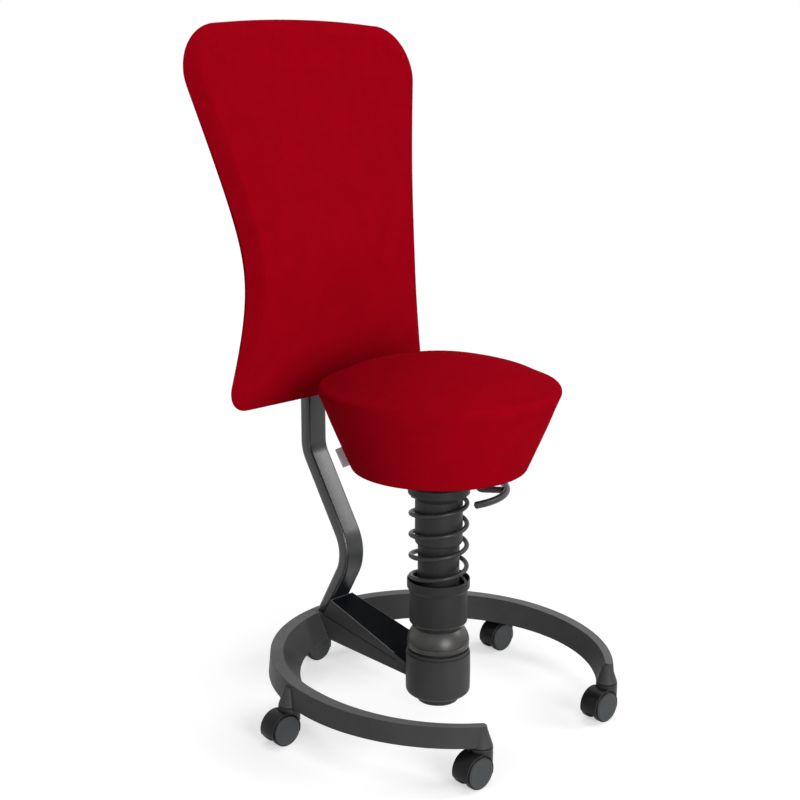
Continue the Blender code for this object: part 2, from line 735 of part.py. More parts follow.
backRows = [BACK_BOTTOM + (mastTop.z - BACK_BOTTOM) * i / 40 for i in range(41)]
backDeepest = max(backLean(z) + backEdge(z) for z in backRows) + GAP + BACK_COVER_T
BACK_FRONT_Y = mastTop.y - MAST_T / 2 - MAST_CLEAR - backDeepest


def backOutline():
    half = []
    bottomReach = backHalf(BACK_BOTTOM) - BACK_BOTTOM_R
    for i in range(BACK_EDGE_STEPS):
        half.append(Vector((bottomReach * i / BACK_EDGE_STEPS, BACK_BOTTOM)))
    for i in range(BACK_CORNER_STEPS + 1):
        turn = math.pi / 2 * (i / BACK_CORNER_STEPS - 1)
        z = BACK_BOTTOM + BACK_BOTTOM_R * (1 + math.sin(turn))
        half.append(Vector((backHalf(z) - BACK_BOTTOM_R * (1 - math.cos(turn)), z)))
    low = BACK_BOTTOM + BACK_BOTTOM_R
    high = BACK_TOP - BACK_ARCH - BACK_TOP_R
    for i in range(1, BACK_SIDE_STEPS):
        z = low + (high - low) * i / BACK_SIDE_STEPS
        half.append(Vector((backHalf(z), z)))
    for i in range(BACK_CORNER_STEPS + 1):
        turn = math.pi / 2 * i / BACK_CORNER_STEPS
        z = high + BACK_TOP_R * math.sin(turn)
        half.append(Vector((backHalf(z) - BACK_TOP_R * (1 - math.cos(turn)), z)))
    topReach = half[-1].x
    for i in range(BACK_EDGE_STEPS - 1, -1, -1):
        share = i / BACK_EDGE_STEPS
        half.append(Vector((topReach * share, BACK_TOP - BACK_ARCH * share ** 2)))
    return half + [Vector((-point.x, point.y)) for point in half[-2:0:-1]]


outline = backOutline()


def insetOutline(inset):
    points = []
    count = len(outline)
    for i, point in enumerate(outline):
        run = outline[(i + 1) % count] - outline[i - 1]
        points.append(point + Vector((-run.y, run.x)).normalized() * inset)
    return points


spineLow = BACK_BOTTOM + BACK_WAIST_HALF
spineHigh = BACK_TOP - BACK_TOP_HALF


# Rings of (share of the way out from the spine, inset from the outline, depth behind the front,
# share of the border's depth), from the front spine round the edge to the back spine.
def backSolid(rings):
    loops = []
    for share, inset, depth, edgeShare in rings:
        loop = []
        for point in insetOutline(inset):
            spine = Vector((0.0, min(max(point.y, spineLow), spineHigh)))
            flat = spine + (point - spine) * share
            y = BACK_FRONT_Y + backLean(flat.y) + depth + edgeShare * backEdge(point.y if share == 1 else flat.y)
            loop.append((flat.x, y, flat.y))
        loops.append(loop)
    bm = bmesh.new()
    rows = [[bm.verts.new(point) for point in loop] for loop in loops]
    count = len(outline)
    for first, second in zip(rows, rows[1:]):
        for i in range(count):
            j = (i + 1) % count
            bm.faces.new((first[i], first[j], second[j], second[i]))
    bmesh.ops.remove_doubles(bm, verts=bm.verts, dist=0.000001)
    flat = [face for face in bm.faces if face.calc_area() < 1e-12]
    bmesh.ops.delete(bm, geom=flat, context="FACES")
    bmesh.ops.triangulate(bm, faces=bm.faces, quad_method="SHORT_EDGE")
    return closeUp(bm)


backSlide = joint("backrest_slide", (0, mastTop.y, CLAMP_Z), stool)
cushionRings = [(0.0, BACK_BORDER, -BACK_CROWN, 0.0), (0.5, BACK_BORDER, -BACK_CROWN * 0.75, 0.0),
                (0.85, BACK_BORDER, -BACK_CROWN * 0.3, 0.0), (1.0, BACK_BORDER, 0.0, 0.0),
                (1.0, BACK_BORDER / 3, 0.0, 0.35), (1.0, 0.0, 0.0, 0.75), (1.0, BACK_BORDER / 5, 0.0, 1.0),
                (1.0, BOARD_INSET, 0.0, 1.0), (0.5, BOARD_INSET, 0.0, 1.0), (0.0, BOARD_INSET, 0.0, 1.0)]
addPiece("backrest_cushion", backSolid(cushionRings), "red_fabric", backSlide)
boardFront = GAP
boardBack = boardFront + BOARD_T
boardRings = [(0.0, BOARD_INSET, boardFront, 1.0), (0.5, BOARD_INSET, boardFront, 1.0),
              (1.0, BOARD_INSET, boardFront, 1.0), (1.0, BOARD_INSET, boardBack, 1.0),
              (0.5, BOARD_INSET, boardBack, 1.0), (0.0, BOARD_INSET, boardBack, 1.0)]
addPiece("backrest_board", backSolid(boardRings), "board", backSlide)
pocketInset = BOARD_INSET - GAP
pocketBack = boardBack + GAP
coverRings = [(0.0, pocketInset, pocketBack, 1.0), (0.5, pocketInset, pocketBack, 1.0),
              (1.0, pocketInset, pocketBack, 1.0), (1.0, pocketInset, boardFront, 1.0),
              (1.0, BACK_BORDER / 5, boardFront, 1.0), (1.0, BACK_BORDER / 5, BACK_COVER_T / 2, 1.0),
              (1.0, BACK_COVER_ROUND, BACK_COVER_T, 1.0), (0.5, pocketInset, BACK_COVER_T, 1.0),
              (0.0, pocketInset, BACK_COVER_T, 1.0)]
rearCover = addPiece("backrest_rear_cover", backSolid(coverRings), "red_fabric", backSlide)

clampLow = CLAMP_Z - CLAMP_HEIGHT / 2
clampHigh = CLAMP_Z + CLAMP_HEIGHT / 2
clampStepY = mastTop.y - MAST_T / 2 - CLAMP_STEP
clampBackY = mastTop.y + MAST_T / 2 + CLAMP_WALL
sleeveHalf = MAST_WIDTH / 2 + CLAMP_WALL
frontMost = BACK_FRONT_Y + BACK_EDGE_T
clampHole = block((-CLAMP_HALF_WIDTH - GAP, BACK_FRONT_Y, clampLow - GAP),
                  (CLAMP_HALF_WIDTH + GAP, clampBackY, clampHigh + GAP))
combine(rearCover, addHelper("rear_cover_hole", clampHole, backSlide), "DIFFERENCE")
clamp = addPiece("mast_clamp", block((-CLAMP_HALF_WIDTH, frontMost, clampLow),
                                     (CLAMP_HALF_WIDTH, clampStepY, clampHigh)), "black_plastic", backSlide)
clampSleeve = addHelper("clamp_sleeve", block((-sleeveHalf, frontMost + BOARD_T, clampLow),
                                              (sleeveHalf, clampBackY, clampHigh)), backSlide)
combine(clamp, clampSleeve, "UNION")
boardCut = [(0.0, BOARD_INSET, -BACK_EDGE_T, 0.0), (0.5, BOARD_INSET, -BACK_EDGE_T, 0.0),
            (1.0, BOARD_INSET, -BACK_EDGE_T, 0.0), (1.0, BOARD_INSET, pocketBack, 1.0),
            (0.5, BOARD_INSET, pocketBack, 1.0), (0.0, BOARD_INSET, pocketBack, 1.0)]
combine(clamp, addHelper("clamp_board_cut", backSolid(boardCut), backSlide), "DIFFERENCE")
mastHole = swept([(0, mastTop.y, clampLow - CLAMP_WALL), (0, mastTop.y, clampHigh + CLAMP_WALL)],
                 roundedSection(MAST_WIDTH + 2 * GAP, MAST_T + 2 * GAP, MAST_CORNER_R + GAP), (1, 0, 0))
combine(clamp, addHelper("clamp_mast_cut", mastHole, backSlide), "DIFFERENCE")


def alongY(bm, y, z):
    return shifted(swung(bm, -math.pi / 2, "X"), (0, y, z))


knobStart = mastTop.y + MAST_T / 2 + GAP
knobCut = alongY(cylinder(KNOB_STUD_R + TURN_GAP, 0.0, CLAMP_WALL + KNOB_T, PIN_SIDES), mastTop.y, CLAMP_Z)
combine(clamp, addHelper("clamp_knob_cut", knobCut, backSlide), "DIFFERENCE")
knobAxis = joint("knob_axis", (0, clampBackY, CLAMP_Z), backSlide)
knobBase = clampBackY + TURN_GAP - knobStart
knobOutline = [(0, 0), (KNOB_STUD_R, 0), (KNOB_STUD_R, knobBase), (KNOB_R, knobBase),
               (KNOB_R, knobBase + KNOB_T * 0.8), (KNOB_R * 0.8, knobBase + KNOB_T), (0, knobBase + KNOB_T)]
addPiece("clamp_knob", alongY(turned(knobOutline, PIN_SIDES), knobStart, CLAMP_Z), "black_plastic", knobAxis)

# Ball joint: the liner rocks front to back in the rubber block and the ball side to side in the liner.
liner = joint("tilt_front_back_axis", (0, 0, PIVOT_Z), stool)
linerOutline = sphereArc(LINER_R, LINER_MOUTH, LINER_TAIL, 6) + sphereArc(LINER_BORE, LINER_TAIL, LINER_MOUTH, 6)
addPiece("ball_liner", turned(linerOutline, SMALL_SIDES), "grey_plastic", liner)

column = joint("tilt_side_axis", (0, 0, PIVOT_Z), liner)
studStart = math.asin(STUD_R / BALL_R)
studTop = CUP_BOTTOM + CUP_STUD_DEPTH - GAP
ballOutline = sphereArc(BALL_R, studStart, math.pi, 8)
ballOutline[-1] = (0, PIVOT_Z - BALL_R)
addPiece("pivot_ball", turned(ballOutline + [(0, studTop), (STUD_R, studTop)], SMALL_SIDES), "steel", column)

skirtOutline = sphereArc(SKIRT_SPHERE_R, SKIRT_THROAT, SKIRT_LIP, 5)
skirtLip = sphereArc(SKIRT_SPHERE_R + SKIRT_LIP_WALL, SKIRT_LIP, SKIRT_LIP, 1)[0]
skirtOutline += [skirtLip, (SKIRT_TOP_R, SKIRT_TOP), (STUD_R + GAP, SKIRT_TOP), (STUD_R + GAP, skirtOutline[0][1])]
addPiece("joint_skirt", turned(skirtOutline, SIDES), "dark_paint", column)

mouthR = CUP_RIM_R - CUP_RIM_WALL
rimLow = CUP_TOP - CUP_RIM_HEIGHT
cupOutline = [(0, CUP_FLOOR_Z), (LOWER_TUBE_R + GAP, CUP_FLOOR_Z), (LOWER_TUBE_R + GAP, CUP_LEDGE_Z),
              (mouthR, CUP_LEDGE_Z), (mouthR, CUP_TOP), (CUP_RIM_R, CUP_TOP), (CUP_RIM_R, rimLow),
              (CUP_R, rimLow - CUP_RIM_CONE), (CUP_R, CUP_BOTTOM + CUP_CHAMFER), (CUP_BASE_R, CUP_BOTTOM),
              (STUD_R + GAP, CUP_BOTTOM), (STUD_R + GAP, CUP_BOTTOM + CUP_STUD_DEPTH),
              (0, CUP_BOTTOM + CUP_STUD_DEPTH)]
addPiece("spring_cup", turned(cupOutline, SIDES), "dark_paint", column)
addPiece("lower_tube", sleeve(LOWER_TUBE_R - LOWER_TUBE_WALL, LOWER_TUBE_R, CUP_FLOOR_Z + GAP, LOWER_TUBE_TOP),
         "grey_paint", column)

# Carriage: what rides on the spring.
carriage = joint("bounce_axis", (0, 0, CUP_LEDGE_Z), column)
upperTop = CAP_PLATE_Z - GAP
upperLow = upperTop - UPPER_TUBE_LENGTH
upperOutline = [(UPPER_TUBE_BORE, upperLow), (UPPER_TUBE_R - UPPER_TUBE_CHAMFER, upperLow),
                (UPPER_TUBE_R, upperLow + 2 * UPPER_TUBE_CHAMFER), (UPPER_TUBE_R, upperTop),
                (UPPER_TUBE_BORE, upperTop)]
addPiece("upper_tube", turned(upperOutline, SIDES), "dark_paint", carriage)
bushLow = upperLow + BUSH_INSET
addPiece("guide_bush", sleeve(BUSH_BORE, BUSH_BORE + BUSH_WALL, bushLow, bushLow + BUSH_HEIGHT),
         "grey_plastic", carriage)
capOutline = [(STAND_R + GAP, CAP_PLATE_Z), (CAP_BORE, CAP_PLATE_Z), (CAP_BORE, CAP_BOTTOM),
              (CAP_BORE + CAP_LIP, CAP_BOTTOM), (CAP_R, CAP_BOTTOM + CAP_CONE), (CAP_R, CAP_TOP - CAP_CHAMFER),
              (CAP_R - CAP_CHAMFER, CAP_TOP), (STAND_R + GAP, CAP_TOP)]
addPiece("spring_cap", turned(capOutline, SIDES), "dark_paint", carriage)
neckR = CYLINDER_R + GAP
standBore = STAND_R - STAND_WALL
neckLow = CAP_TOP - STAND_NECK
standOutline = [(0, STAND_BOTTOM), (STAND_R, STAND_BOTTOM), (STAND_R, CAP_TOP), (neckR, CAP_TOP), (neckR, neckLow),
                (standBore, neckLow - STAND_WALL), (standBore, STAND_BOTTOM + STAND_FLOOR),
                (0, STAND_BOTTOM + STAND_FLOOR)]
addPiece("stand_tube", turned(standOutline, SMALL_SIDES), "steel", carriage)
rodLow = STAND_BOTTOM + STAND_FLOOR + GAP
cylinderRoof = CYLINDER_TOP - CYLINDER_CROWN
rodHigh = cylinderRoof - LIFT_TRAVEL - BUMP_GAP
addPiece("piston_rod", cylinder(ROD_R, rodLow, rodHigh, PIN_SIDES), "steel", carriage)

# Coil spring between the cup's ledge and the cap's cone, with eased ends.
coneSlope = CAP_CONE / (CAP_R - CAP_BORE - CAP_LIP)
coilInnerR = COIL_R * math.cos(math.pi / COIL_POINTS)
coneZ = CAP_BOTTOM + (coilInnerR * math.cos(math.pi / SIDES) - CAP_BORE - CAP_LIP) * coneSlope
coilLow = CUP_LEDGE_Z + WIRE_R + GAP
coilHigh = coneZ - (WIRE_R + GAP) * math.hypot(1.0, coneSlope)
coilPitch = (coilHigh - coilLow) / (COIL_TURNS - COIL_EASE)


def coilRise(turn):
    if turn < COIL_EASE:
        return turn ** 2 / (2 * COIL_EASE)
    if turn > COIL_TURNS - COIL_EASE:
        return COIL_TURNS - COIL_EASE - (COIL_TURNS - turn) ** 2 / (2 * COIL_EASE)
    return turn - COIL_EASE / 2


coilCount = round(COIL_TURNS * COIL_POINTS)
coilPath = []
for i in range(coilCount + 1):
    turn = COIL_TURNS * i / coilCount
    angle = COIL_START + math.tau * turn
    coilPath.append(Vector((COIL_R * math.cos(angle), COIL_R * math.sin(angle), coilLow + coilPitch * coilRise(turn))))
coilGap = min((a - b).length for i, a in enumerate(coilPath) for b in coilPath[i + COIL_POINTS // 2:]) - 2 * WIRE_R
print("coil spring: least gap to itself", round(coilGap * 1000, 2), "mm")
coilCurve = bpy.data.curves.new("coil_spring", "CURVE")
coilCurve.dimensions = "3D"
coilCurve.bevel_depth = WIRE_R
coilCurve.bevel_resolution = 1
coilCurve.use_fill_caps = True
coilLine = coilCurve.splines.new("POLY")
coilLine.points.add(len(coilPath) - 1)
for point, place in zip(coilLine.points, coilPath):
    point.co = (*(place - where["bounce_axis"]), 1.0)
coilCurve.materials.append(addMaterial("coil_spring", "dark_paint"))
addCopy("coil_spring", coilCurve, carriage)

# Gas cylinder and its release button.
lift = joint("lift_axis", (0, 0, CAP_TOP), carriage)
buttonBore = BUTTON_R + TURN_GAP
buttonLow = CYLINDER_TOP - BUTTON_DEPTH
buttonFloor = buttonLow - BUTTON_TRAVEL - GAP
rodBore = ROD_R + TURN_GAP
cylinderOutline = [(0, cylinderRoof), (rodBore, cylinderRoof), (rodBore, CYLINDER_BOTTOM), (CYLINDER_R, CYLINDER_BOTTOM),
                   (CYLINDER_R, CYLINDER_TOP), (buttonBore, CYLINDER_TOP), (buttonBore, buttonFloor), (0, buttonFloor)]
addPiece("gas_cylinder", turned(cylinderOutline, SMALL_SIDES), "dark_paint", lift)
buttonAxis = joint("button_axis", (0, 0, CYLINDER_TOP), lift)
addPiece("release_button", cylinder(BUTTON_R, buttonLow, BUTTON_TOP, PIN_SIDES), "steel", buttonAxis)

# Seat: hub, plate, pan, cushion and the lever's bracket.
seat = joint("seat_axis", (0, 0, HUB_BOTTOM), lift)
ledgeLow = CYLINDER_TOP + GAP
hubOutline = [(HUB_BORE, HUB_BOTTOM), (HUB_R, HUB_BOTTOM), (HUB_R, HUB_TOP), (HUB_BORE, HUB_TOP),
              (HUB_BORE, ledgeLow + HUB_LEDGE), (HUB_LEDGE_R, ledgeLow + HUB_LEDGE), (HUB_LEDGE_R, ledgeLow),
              (HUB_BORE, ledgeLow)]
hub = addPiece("seat_hub", turned(hubOutline, SMALL_SIDES), "dark_paint", seat)
slotHalf = LEVER_BAR_HALF + TURN_GAP
hubSlot = swung(block((0.0, -slotHalf, BAR_BOTTOM - LEVER_SWING_ROOM), (HUB_R + HUB_WALL, slotHalf, PLATE_TOP)),
                LEVER_TURN)
combine(hub, addHelper("hub_slot", hubSlot, seat), "DIFFERENCE")

plateSection = [(x, y, 0.0) for x, y in roundedSection(2 * PLATE_HALF, 2 * PLATE_HALF, PLATE_CORNER_R)]
addPiece("seat_plate", lofted([[(x, y, PLATE_BOTTOM) for x, y, z in plateSection],
                               [(x, y, PLATE_TOP) for x, y, z in plateSection]]), "steel", seat)
addPiece("seat_pan", cylinder(PAN_R, PAN_BOTTOM, PAN_TOP, CUSHION_SIDES), "board", seat)

crown = []
for i in range(SEAT_CROWN_STEPS):
    r = (SEAT_RIM_R - SEAT_RIM_ROUND / 2) * math.sin(math.pi / 2 * i / SEAT_CROWN_STEPS)
    crown.append((r, SEAT_RIM_Z + SEAT_CROWN * (1 - (r / SEAT_RIM_R) ** SEAT_CROWN_POWER)))
sideRun = Vector((SEAT_RIM_R - SEAT_BOTTOM_R, SEAT_RIM_Z - SEAT_BOTTOM_Z)).normalized()
rimLow = (SEAT_RIM_R - sideRun.x * SEAT_RIM_ROUND, SEAT_RIM_Z - sideRun.y * SEAT_RIM_ROUND)
sideLow = (SEAT_BOTTOM_R + sideRun.x * SEAT_BOTTOM_ROUND, SEAT_BOTTOM_Z + sideRun.y * SEAT_BOTTOM_ROUND)
seatOutline = crown + [(SEAT_RIM_R, SEAT_RIM_Z), rimLow, sideLow,
                       (SEAT_BOTTOM_R - SEAT_BOTTOM_ROUND, SEAT_BOTTOM_Z), (RECESS_R, SEAT_BOTTOM_Z),
                       (RECESS_R, PAN_TOP + GAP), (0, PAN_TOP + GAP)]
addPiece("seat_cushion", turned(seatOutline, CUSHION_SIDES), "red_fabric", seat)

tagOut = Vector((sideRun.y, -sideRun.x))
tagBase = Vector((SEAT_BOTTOM_R, SEAT_BOTTOM_Z)) + sideRun * TAG_RISE + tagOut * GAP
tagCorners = [tagBase, tagBase + sideRun * TAG_LENGTH, tagBase + sideRun * TAG_LENGTH + tagOut * TAG_REACH,
              tagBase + tagOut * TAG_REACH]
tag = lofted([[(point.x, side * TAG_T / 2, point.y) for point in tagCorners] for side in (-1, 1)])
addPiece("seat_tag", swung(tag, TAG_TURN), "label", seat)


def alongTangent(radius, half):
    bm = swung(cylinder(radius, -half, half, PIN_SIDES), math.pi / 2, "X")
    return swung(shifted(bm, (LEVER_PIVOT_R, 0, BAR_Z)), LEVER_TURN)


cheekInner = LEVER_BAR_HALF + GAP
cheekOuter = cheekInner + CHEEK_T
cheekLow = LEVER_PIVOT_R - CHEEK_HALF_LENGTH
cheekHigh = LEVER_PIVOT_R + CHEEK_HALF_LENGTH
cheekBottom = BAR_BOTTOM - CHEEK_DROP
bracketBlock = block((cheekLow, -cheekOuter, cheekBottom), (cheekHigh, cheekOuter, HUB_TOP))
leverBracket = addPiece("lever_bracket", swung(bracketBlock, LEVER_TURN), "steel", seat)
channel = block((cheekLow - CHEEK_T, -cheekInner, cheekBottom - CHEEK_T),
                (cheekHigh + CHEEK_T, cheekInner, HUB_TOP - WEB_T))
combine(leverBracket, addHelper("bracket_channel", swung(channel, LEVER_TURN), seat), "DIFFERENCE")
combine(leverBracket, addHelper("bracket_pin_hole", alongTangent(LEVER_PIN_R + GAP, cheekOuter + CHEEK_T), seat),
        "DIFFERENCE")
addPiece("lever_pin", alongTangent(LEVER_PIN_R, cheekOuter), "steel", seat)

# Lever: a flat bar over the button, a bent rod down from it and an arc handle round the column.
leverOut = Vector((math.cos(LEVER_TURN), math.sin(LEVER_TURN), 0))
leverAcross = Vector((-leverOut.y, leverOut.x, 0))
leverPivot = leverOut * LEVER_PIVOT_R + Vector((0, 0, BAR_Z))
leverAxis = joint("lever_axis", leverPivot, seat)
handleZ = BAR_Z - LEVER_DROP
bar = block((-LEVER_TIP, -LEVER_BAR_HALF, BAR_BOTTOM), (LEVER_RISER_R + LEVER_ROD_R / 2, LEVER_BAR_HALF, BAR_TOP))
lever = addPiece("height_lever", swung(bar, LEVER_TURN), "dark_paint", leverAxis)
riserPath = roundedPath([leverOut * LEVER_RISER_R + Vector((0, 0, BAR_TOP - LEVER_BAR_T / 4)),
                         leverOut * LEVER_RISER_R + Vector((0, 0, handleZ)),
                         leverOut * (LEVER_HANDLE_R - LEVER_GRIP_R / 6) + Vector((0, 0, handleZ))], (LEVER_BEND_R,), 5)
riser = addHelper("lever_riser", swept(riserPath, circleSection(LEVER_ROD_R, 10), leverAcross), leverAxis)
combine(lever, riser, "UNION")
handlePath = []
for i in range(LEVER_HANDLE_STEPS + 1):
    angle = LEVER_TURN + LEVER_HANDLE_HALF * (2 * i / LEVER_HANDLE_STEPS - 1)
    handlePath.append((LEVER_HANDLE_R * math.cos(angle), LEVER_HANDLE_R * math.sin(angle), handleZ))
handle = addHelper("lever_handle", swept(handlePath, circleSection(LEVER_GRIP_R, 10), (0, 0, 1)), leverAxis)
combine(lever, handle, "UNION")
combine(lever, addHelper("lever_pin_hole", alongTangent(LEVER_PIN_R + TURN_GAP, cheekOuter), leverAxis), "DIFFERENCE")

# Castors: a hooded body with a round neck on a stem, an axle and a pair of wheels.
webHalf = CASTOR_WEB / 2
wheelInner = webHalf + TURN_GAP
wheelOuter = wheelInner + WHEEL_WIDTH
hoodHalf = wheelOuter - HOOD_REVEAL
wellR = WHEEL_R + HOOD_ROOM
hoodR = wellR + HOOD_WALL
hoodStep = math.tau / WHEEL_SIDES
hoodSteps = WHEEL_SIDES // 2 + HOOD_BACK_STEPS + HOOD_FRONT_STEPS
hoodOutline = [(CASTOR_TRAIL + hoodR * math.cos(a), AXLE_Z + hoodR * math.sin(a))
               for a in [hoodStep * (i - HOOD_BACK_STEPS) for i in range(hoodSteps + 1)]]
axleHoleR = AXLE_R + GAP
wheelBore = AXLE_R + TURN_GAP
boreDepth = WHEEL_WIDTH - AXLE_COVER
axleHalf = wheelInner + boreDepth - TURN_GAP
wheelOutline = [(wheelBore, 0), (WHEEL_R, 0), (WHEEL_R, WHEEL_WIDTH - WHEEL_SHOULDER),
                (WHEEL_R - WHEEL_RIM, WHEEL_WIDTH - WHEEL_DOME), (0, WHEEL_WIDTH), (0, boreDepth),
                (wheelBore, boreDepth)]


def alongAxle(bm, y):
    return shifted(swung(bm, -math.pi / 2, "X"), (CASTOR_TRAIL, y, AXLE_Z))


for name, point in castorPoints.items():
    swivel = joint(name + "_swivel", point, stool, CASTOR_YAW)
    where[swivel.name] = Vector((0, 0, 0))
    spins = [joint(name + "_spin_" + side, (CASTOR_TRAIL, 0, AXLE_Z), swivel) for side in ("a", "b")]
    stemHold = joint(name + "_socket", point, stool)
    where[stemHold.name] = Vector((0, 0, 0))
    hood = addPiece(name + "_body", lofted([[(x, y, z) for x, z in hoodOutline] for y in (-hoodHalf, hoodHalf)]),
                    "black_plastic", swivel)
    neck = addHelper(name + "_neck", cylinder(NECK_R, NECK_TOP - NECK_DEPTH, NECK_TOP, SMALL_SIDES), swivel)
    combine(hood, neck, "UNION")
    wells = merged([alongAxle(cylinder(wellR, low, high, WHEEL_SIDES), 0)
                    for low, high in ((webHalf, wheelOuter + NECK_R), (-wheelOuter - NECK_R, -webHalf))])
    combine(hood, addHelper(name + "_wells", wells, swivel), "DIFFERENCE")
    stemBore = addHelper(name + "_stem_bore", cylinder(STEM_R + TURN_GAP, STEM_BOTTOM - GAP, STEM_TOP, PIN_SIDES), swivel)
    combine(hood, stemBore, "DIFFERENCE")
    axleHole = addHelper(name + "_axle_hole", alongAxle(cylinder(axleHoleR, -wheelInner, wheelInner, PIN_SIDES), 0),
                         swivel)
    combine(hood, axleHole, "DIFFERENCE")
    addPiece(name + "_stem", cylinder(STEM_R, STEM_BOTTOM, STEM_TOP, PIN_SIDES), "steel", stemHold)
    addPiece(name + "_axle", alongAxle(cylinder(AXLE_R, -axleHalf, axleHalf, PIN_SIDES), 0), "steel", swivel)
    half = math.pi / WHEEL_SIDES
    addPiece(name + "_wheel_a", alongAxle(turned(wheelOutline, WHEEL_SIDES, half), wheelInner),
             "grey_plastic", spins[0])
    farWheel = turned([(r, -y) for r, y in wheelOutline], WHEEL_SIDES, half)
    addPiece(name + "_wheel_b", alongAxle(farWheel, -wheelInner), "grey_plastic", spins[1])

# The origin is the middle of the stool's box on the floor.
graph = bpy.context.evaluated_depsgraph_get()
corners = []
for piece in bpy.data.objects:
    if piece.type in {"MESH", "CURVE"} and not piece.hide_render:
        shown = piece.evaluated_get(graph)
        corners += [shown.matrix_world @ vertex.co for vertex in shown.to_mesh().vertices]
for axis in (0, 1):
    stool.location[axis] = -(min(c[axis] for c in corners) + max(c[axis] for c in corners)) / 2
stool.location.z = -min(c.z for c in corners)
bpy.context.view_layer.update()
print("column axis at", [round(value, 5) for value in stool.location])
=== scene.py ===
import math

import bmesh
import bpy
import numpy
from mathutils import Matrix, Vector
from mathutils.kdtree import KDTree


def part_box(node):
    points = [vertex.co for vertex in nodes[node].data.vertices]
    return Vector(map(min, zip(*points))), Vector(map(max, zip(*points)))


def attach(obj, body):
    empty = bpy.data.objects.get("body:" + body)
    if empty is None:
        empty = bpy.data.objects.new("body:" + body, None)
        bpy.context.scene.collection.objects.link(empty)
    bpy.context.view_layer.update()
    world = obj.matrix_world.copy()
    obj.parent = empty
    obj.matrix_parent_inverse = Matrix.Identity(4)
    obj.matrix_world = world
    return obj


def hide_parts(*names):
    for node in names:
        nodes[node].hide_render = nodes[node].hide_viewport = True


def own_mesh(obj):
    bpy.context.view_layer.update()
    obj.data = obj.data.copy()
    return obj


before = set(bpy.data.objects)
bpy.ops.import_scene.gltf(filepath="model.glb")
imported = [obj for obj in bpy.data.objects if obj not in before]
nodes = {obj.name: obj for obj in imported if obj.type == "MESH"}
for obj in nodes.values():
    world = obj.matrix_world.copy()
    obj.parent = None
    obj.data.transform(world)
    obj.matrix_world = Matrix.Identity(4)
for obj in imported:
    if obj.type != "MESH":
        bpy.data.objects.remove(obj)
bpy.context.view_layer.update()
scene = bpy.context.scene
scene.view_settings.view_transform = "Standard"
up = Vector((0, 0, 1))


def middle(node):
    low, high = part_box(node)
    return (low + high) / 2


def lowZ(node):
    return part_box(node)[0].z


def highZ(node):
    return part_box(node)[1].z


home = Vector((middle("spring_cup").x, middle("spring_cup").y, 0.0))  # the column's axis on the floor
ringTop = highZ("base_ring")
play = 0.0003  # room left between pieces that fit together
print("frame loaded, column axis at", tuple(round(v, 4) for v in home))


# Shader and geometry node maths: a wrapped socket
class Wire:
    def __init__(self, tree, socket=None):
        self.tree = tree
        self.socket = socket

    def node(self, kind, settings=None, inputs=None, out=0):
        made = self.tree.nodes.new(kind)
        for key, value in (settings or {}).items():
            setattr(made, key, value)
        for key, value in (inputs or {}).items():
            if isinstance(value, Wire):
                self.tree.links.new(value.socket, made.inputs[key])
            else:
                made.inputs[key].default_value = value
        return Wire(self.tree, made.outputs[out] if made.outputs else None)

    def math(self, operation, first, second):
        return self.node("ShaderNodeMath", {"operation": operation}, {0: first, 1: second})

    def mix(self, share, first, second):
        return self.node("ShaderNodeMix", {"data_type": "RGBA"}, {0: share, 6: first, 7: second}, 2)

    def span(self, low, high):
        return self.node("ShaderNodeMapRange", {"interpolation_type": "SMOOTHSTEP"},
                         {"Value": self, "From Min": low, "From Max": high})

    def __add__(self, other):
        return self.math("ADD", self, other)

    def __sub__(self, other):
        return self.math("SUBTRACT", self, other)

    def __mul__(self, other):
        return self.math("MULTIPLY", self, other)

    def __truediv__(self, other):
        return self.math("DIVIDE", self, other)

    def __rsub__(self, other):
        return self.math("SUBTRACT", other, self)

    def __rtruediv__(self, other):
        return self.math("DIVIDE", other, self)

    __radd__ = __add__
    __rmul__ = __mul__


def grey(value):
    return (value, value, value, 1.0)


# Surfaces
def newSurface(name, **fixed):
    made = bpy.data.materials.new(name)
    made.use_nodes = True
    shader = made.node_tree.nodes["Principled BSDF"]
    for key, value in fixed.items():
        shader.inputs[key.replace("_", " ")].default_value = value
    wire = Wire(made.node_tree)
    place = wire.node("ShaderNodeTexCoord", out="Object")
    return made, shader, wire, place


def feed(shader, wire, key):
    wire.tree.links.new(wire.socket, shader.inputs[key])


def noise(place, scale, detail=3.0, roughness=0.55):
    return place.node("ShaderNodeTexNoise", None,
                      {"Vector": place, "Scale": scale, "Detail": detail, "Roughness": roughness})


def wave(place, bands, scale, distortion, detailScale=1.0):
    return place.node("ShaderNodeTexWave", {"bands_direction": bands}, {
        "Vector": place, "Scale": scale, "Distortion": distortion, "Detail Scale": detailScale}, 1)


def addBump(shader, height, strength, distance):
    feed(shader, height.node("ShaderNodeBump", None,
                             {"Strength": strength, "Distance": distance, "Height": height}), "Normal")


clothSet = {"shade": (0.312, 0.0006, 0.0066, 1), "light": (0.342, 0.0008, 0.0076, 1),
            "nap": (0.40, 0.0012, 0.0100, 1), "cloudScale": 26.0, "napScale": 70.0, "fibreScale": 1100.0,
            "threadScale": 520.0}


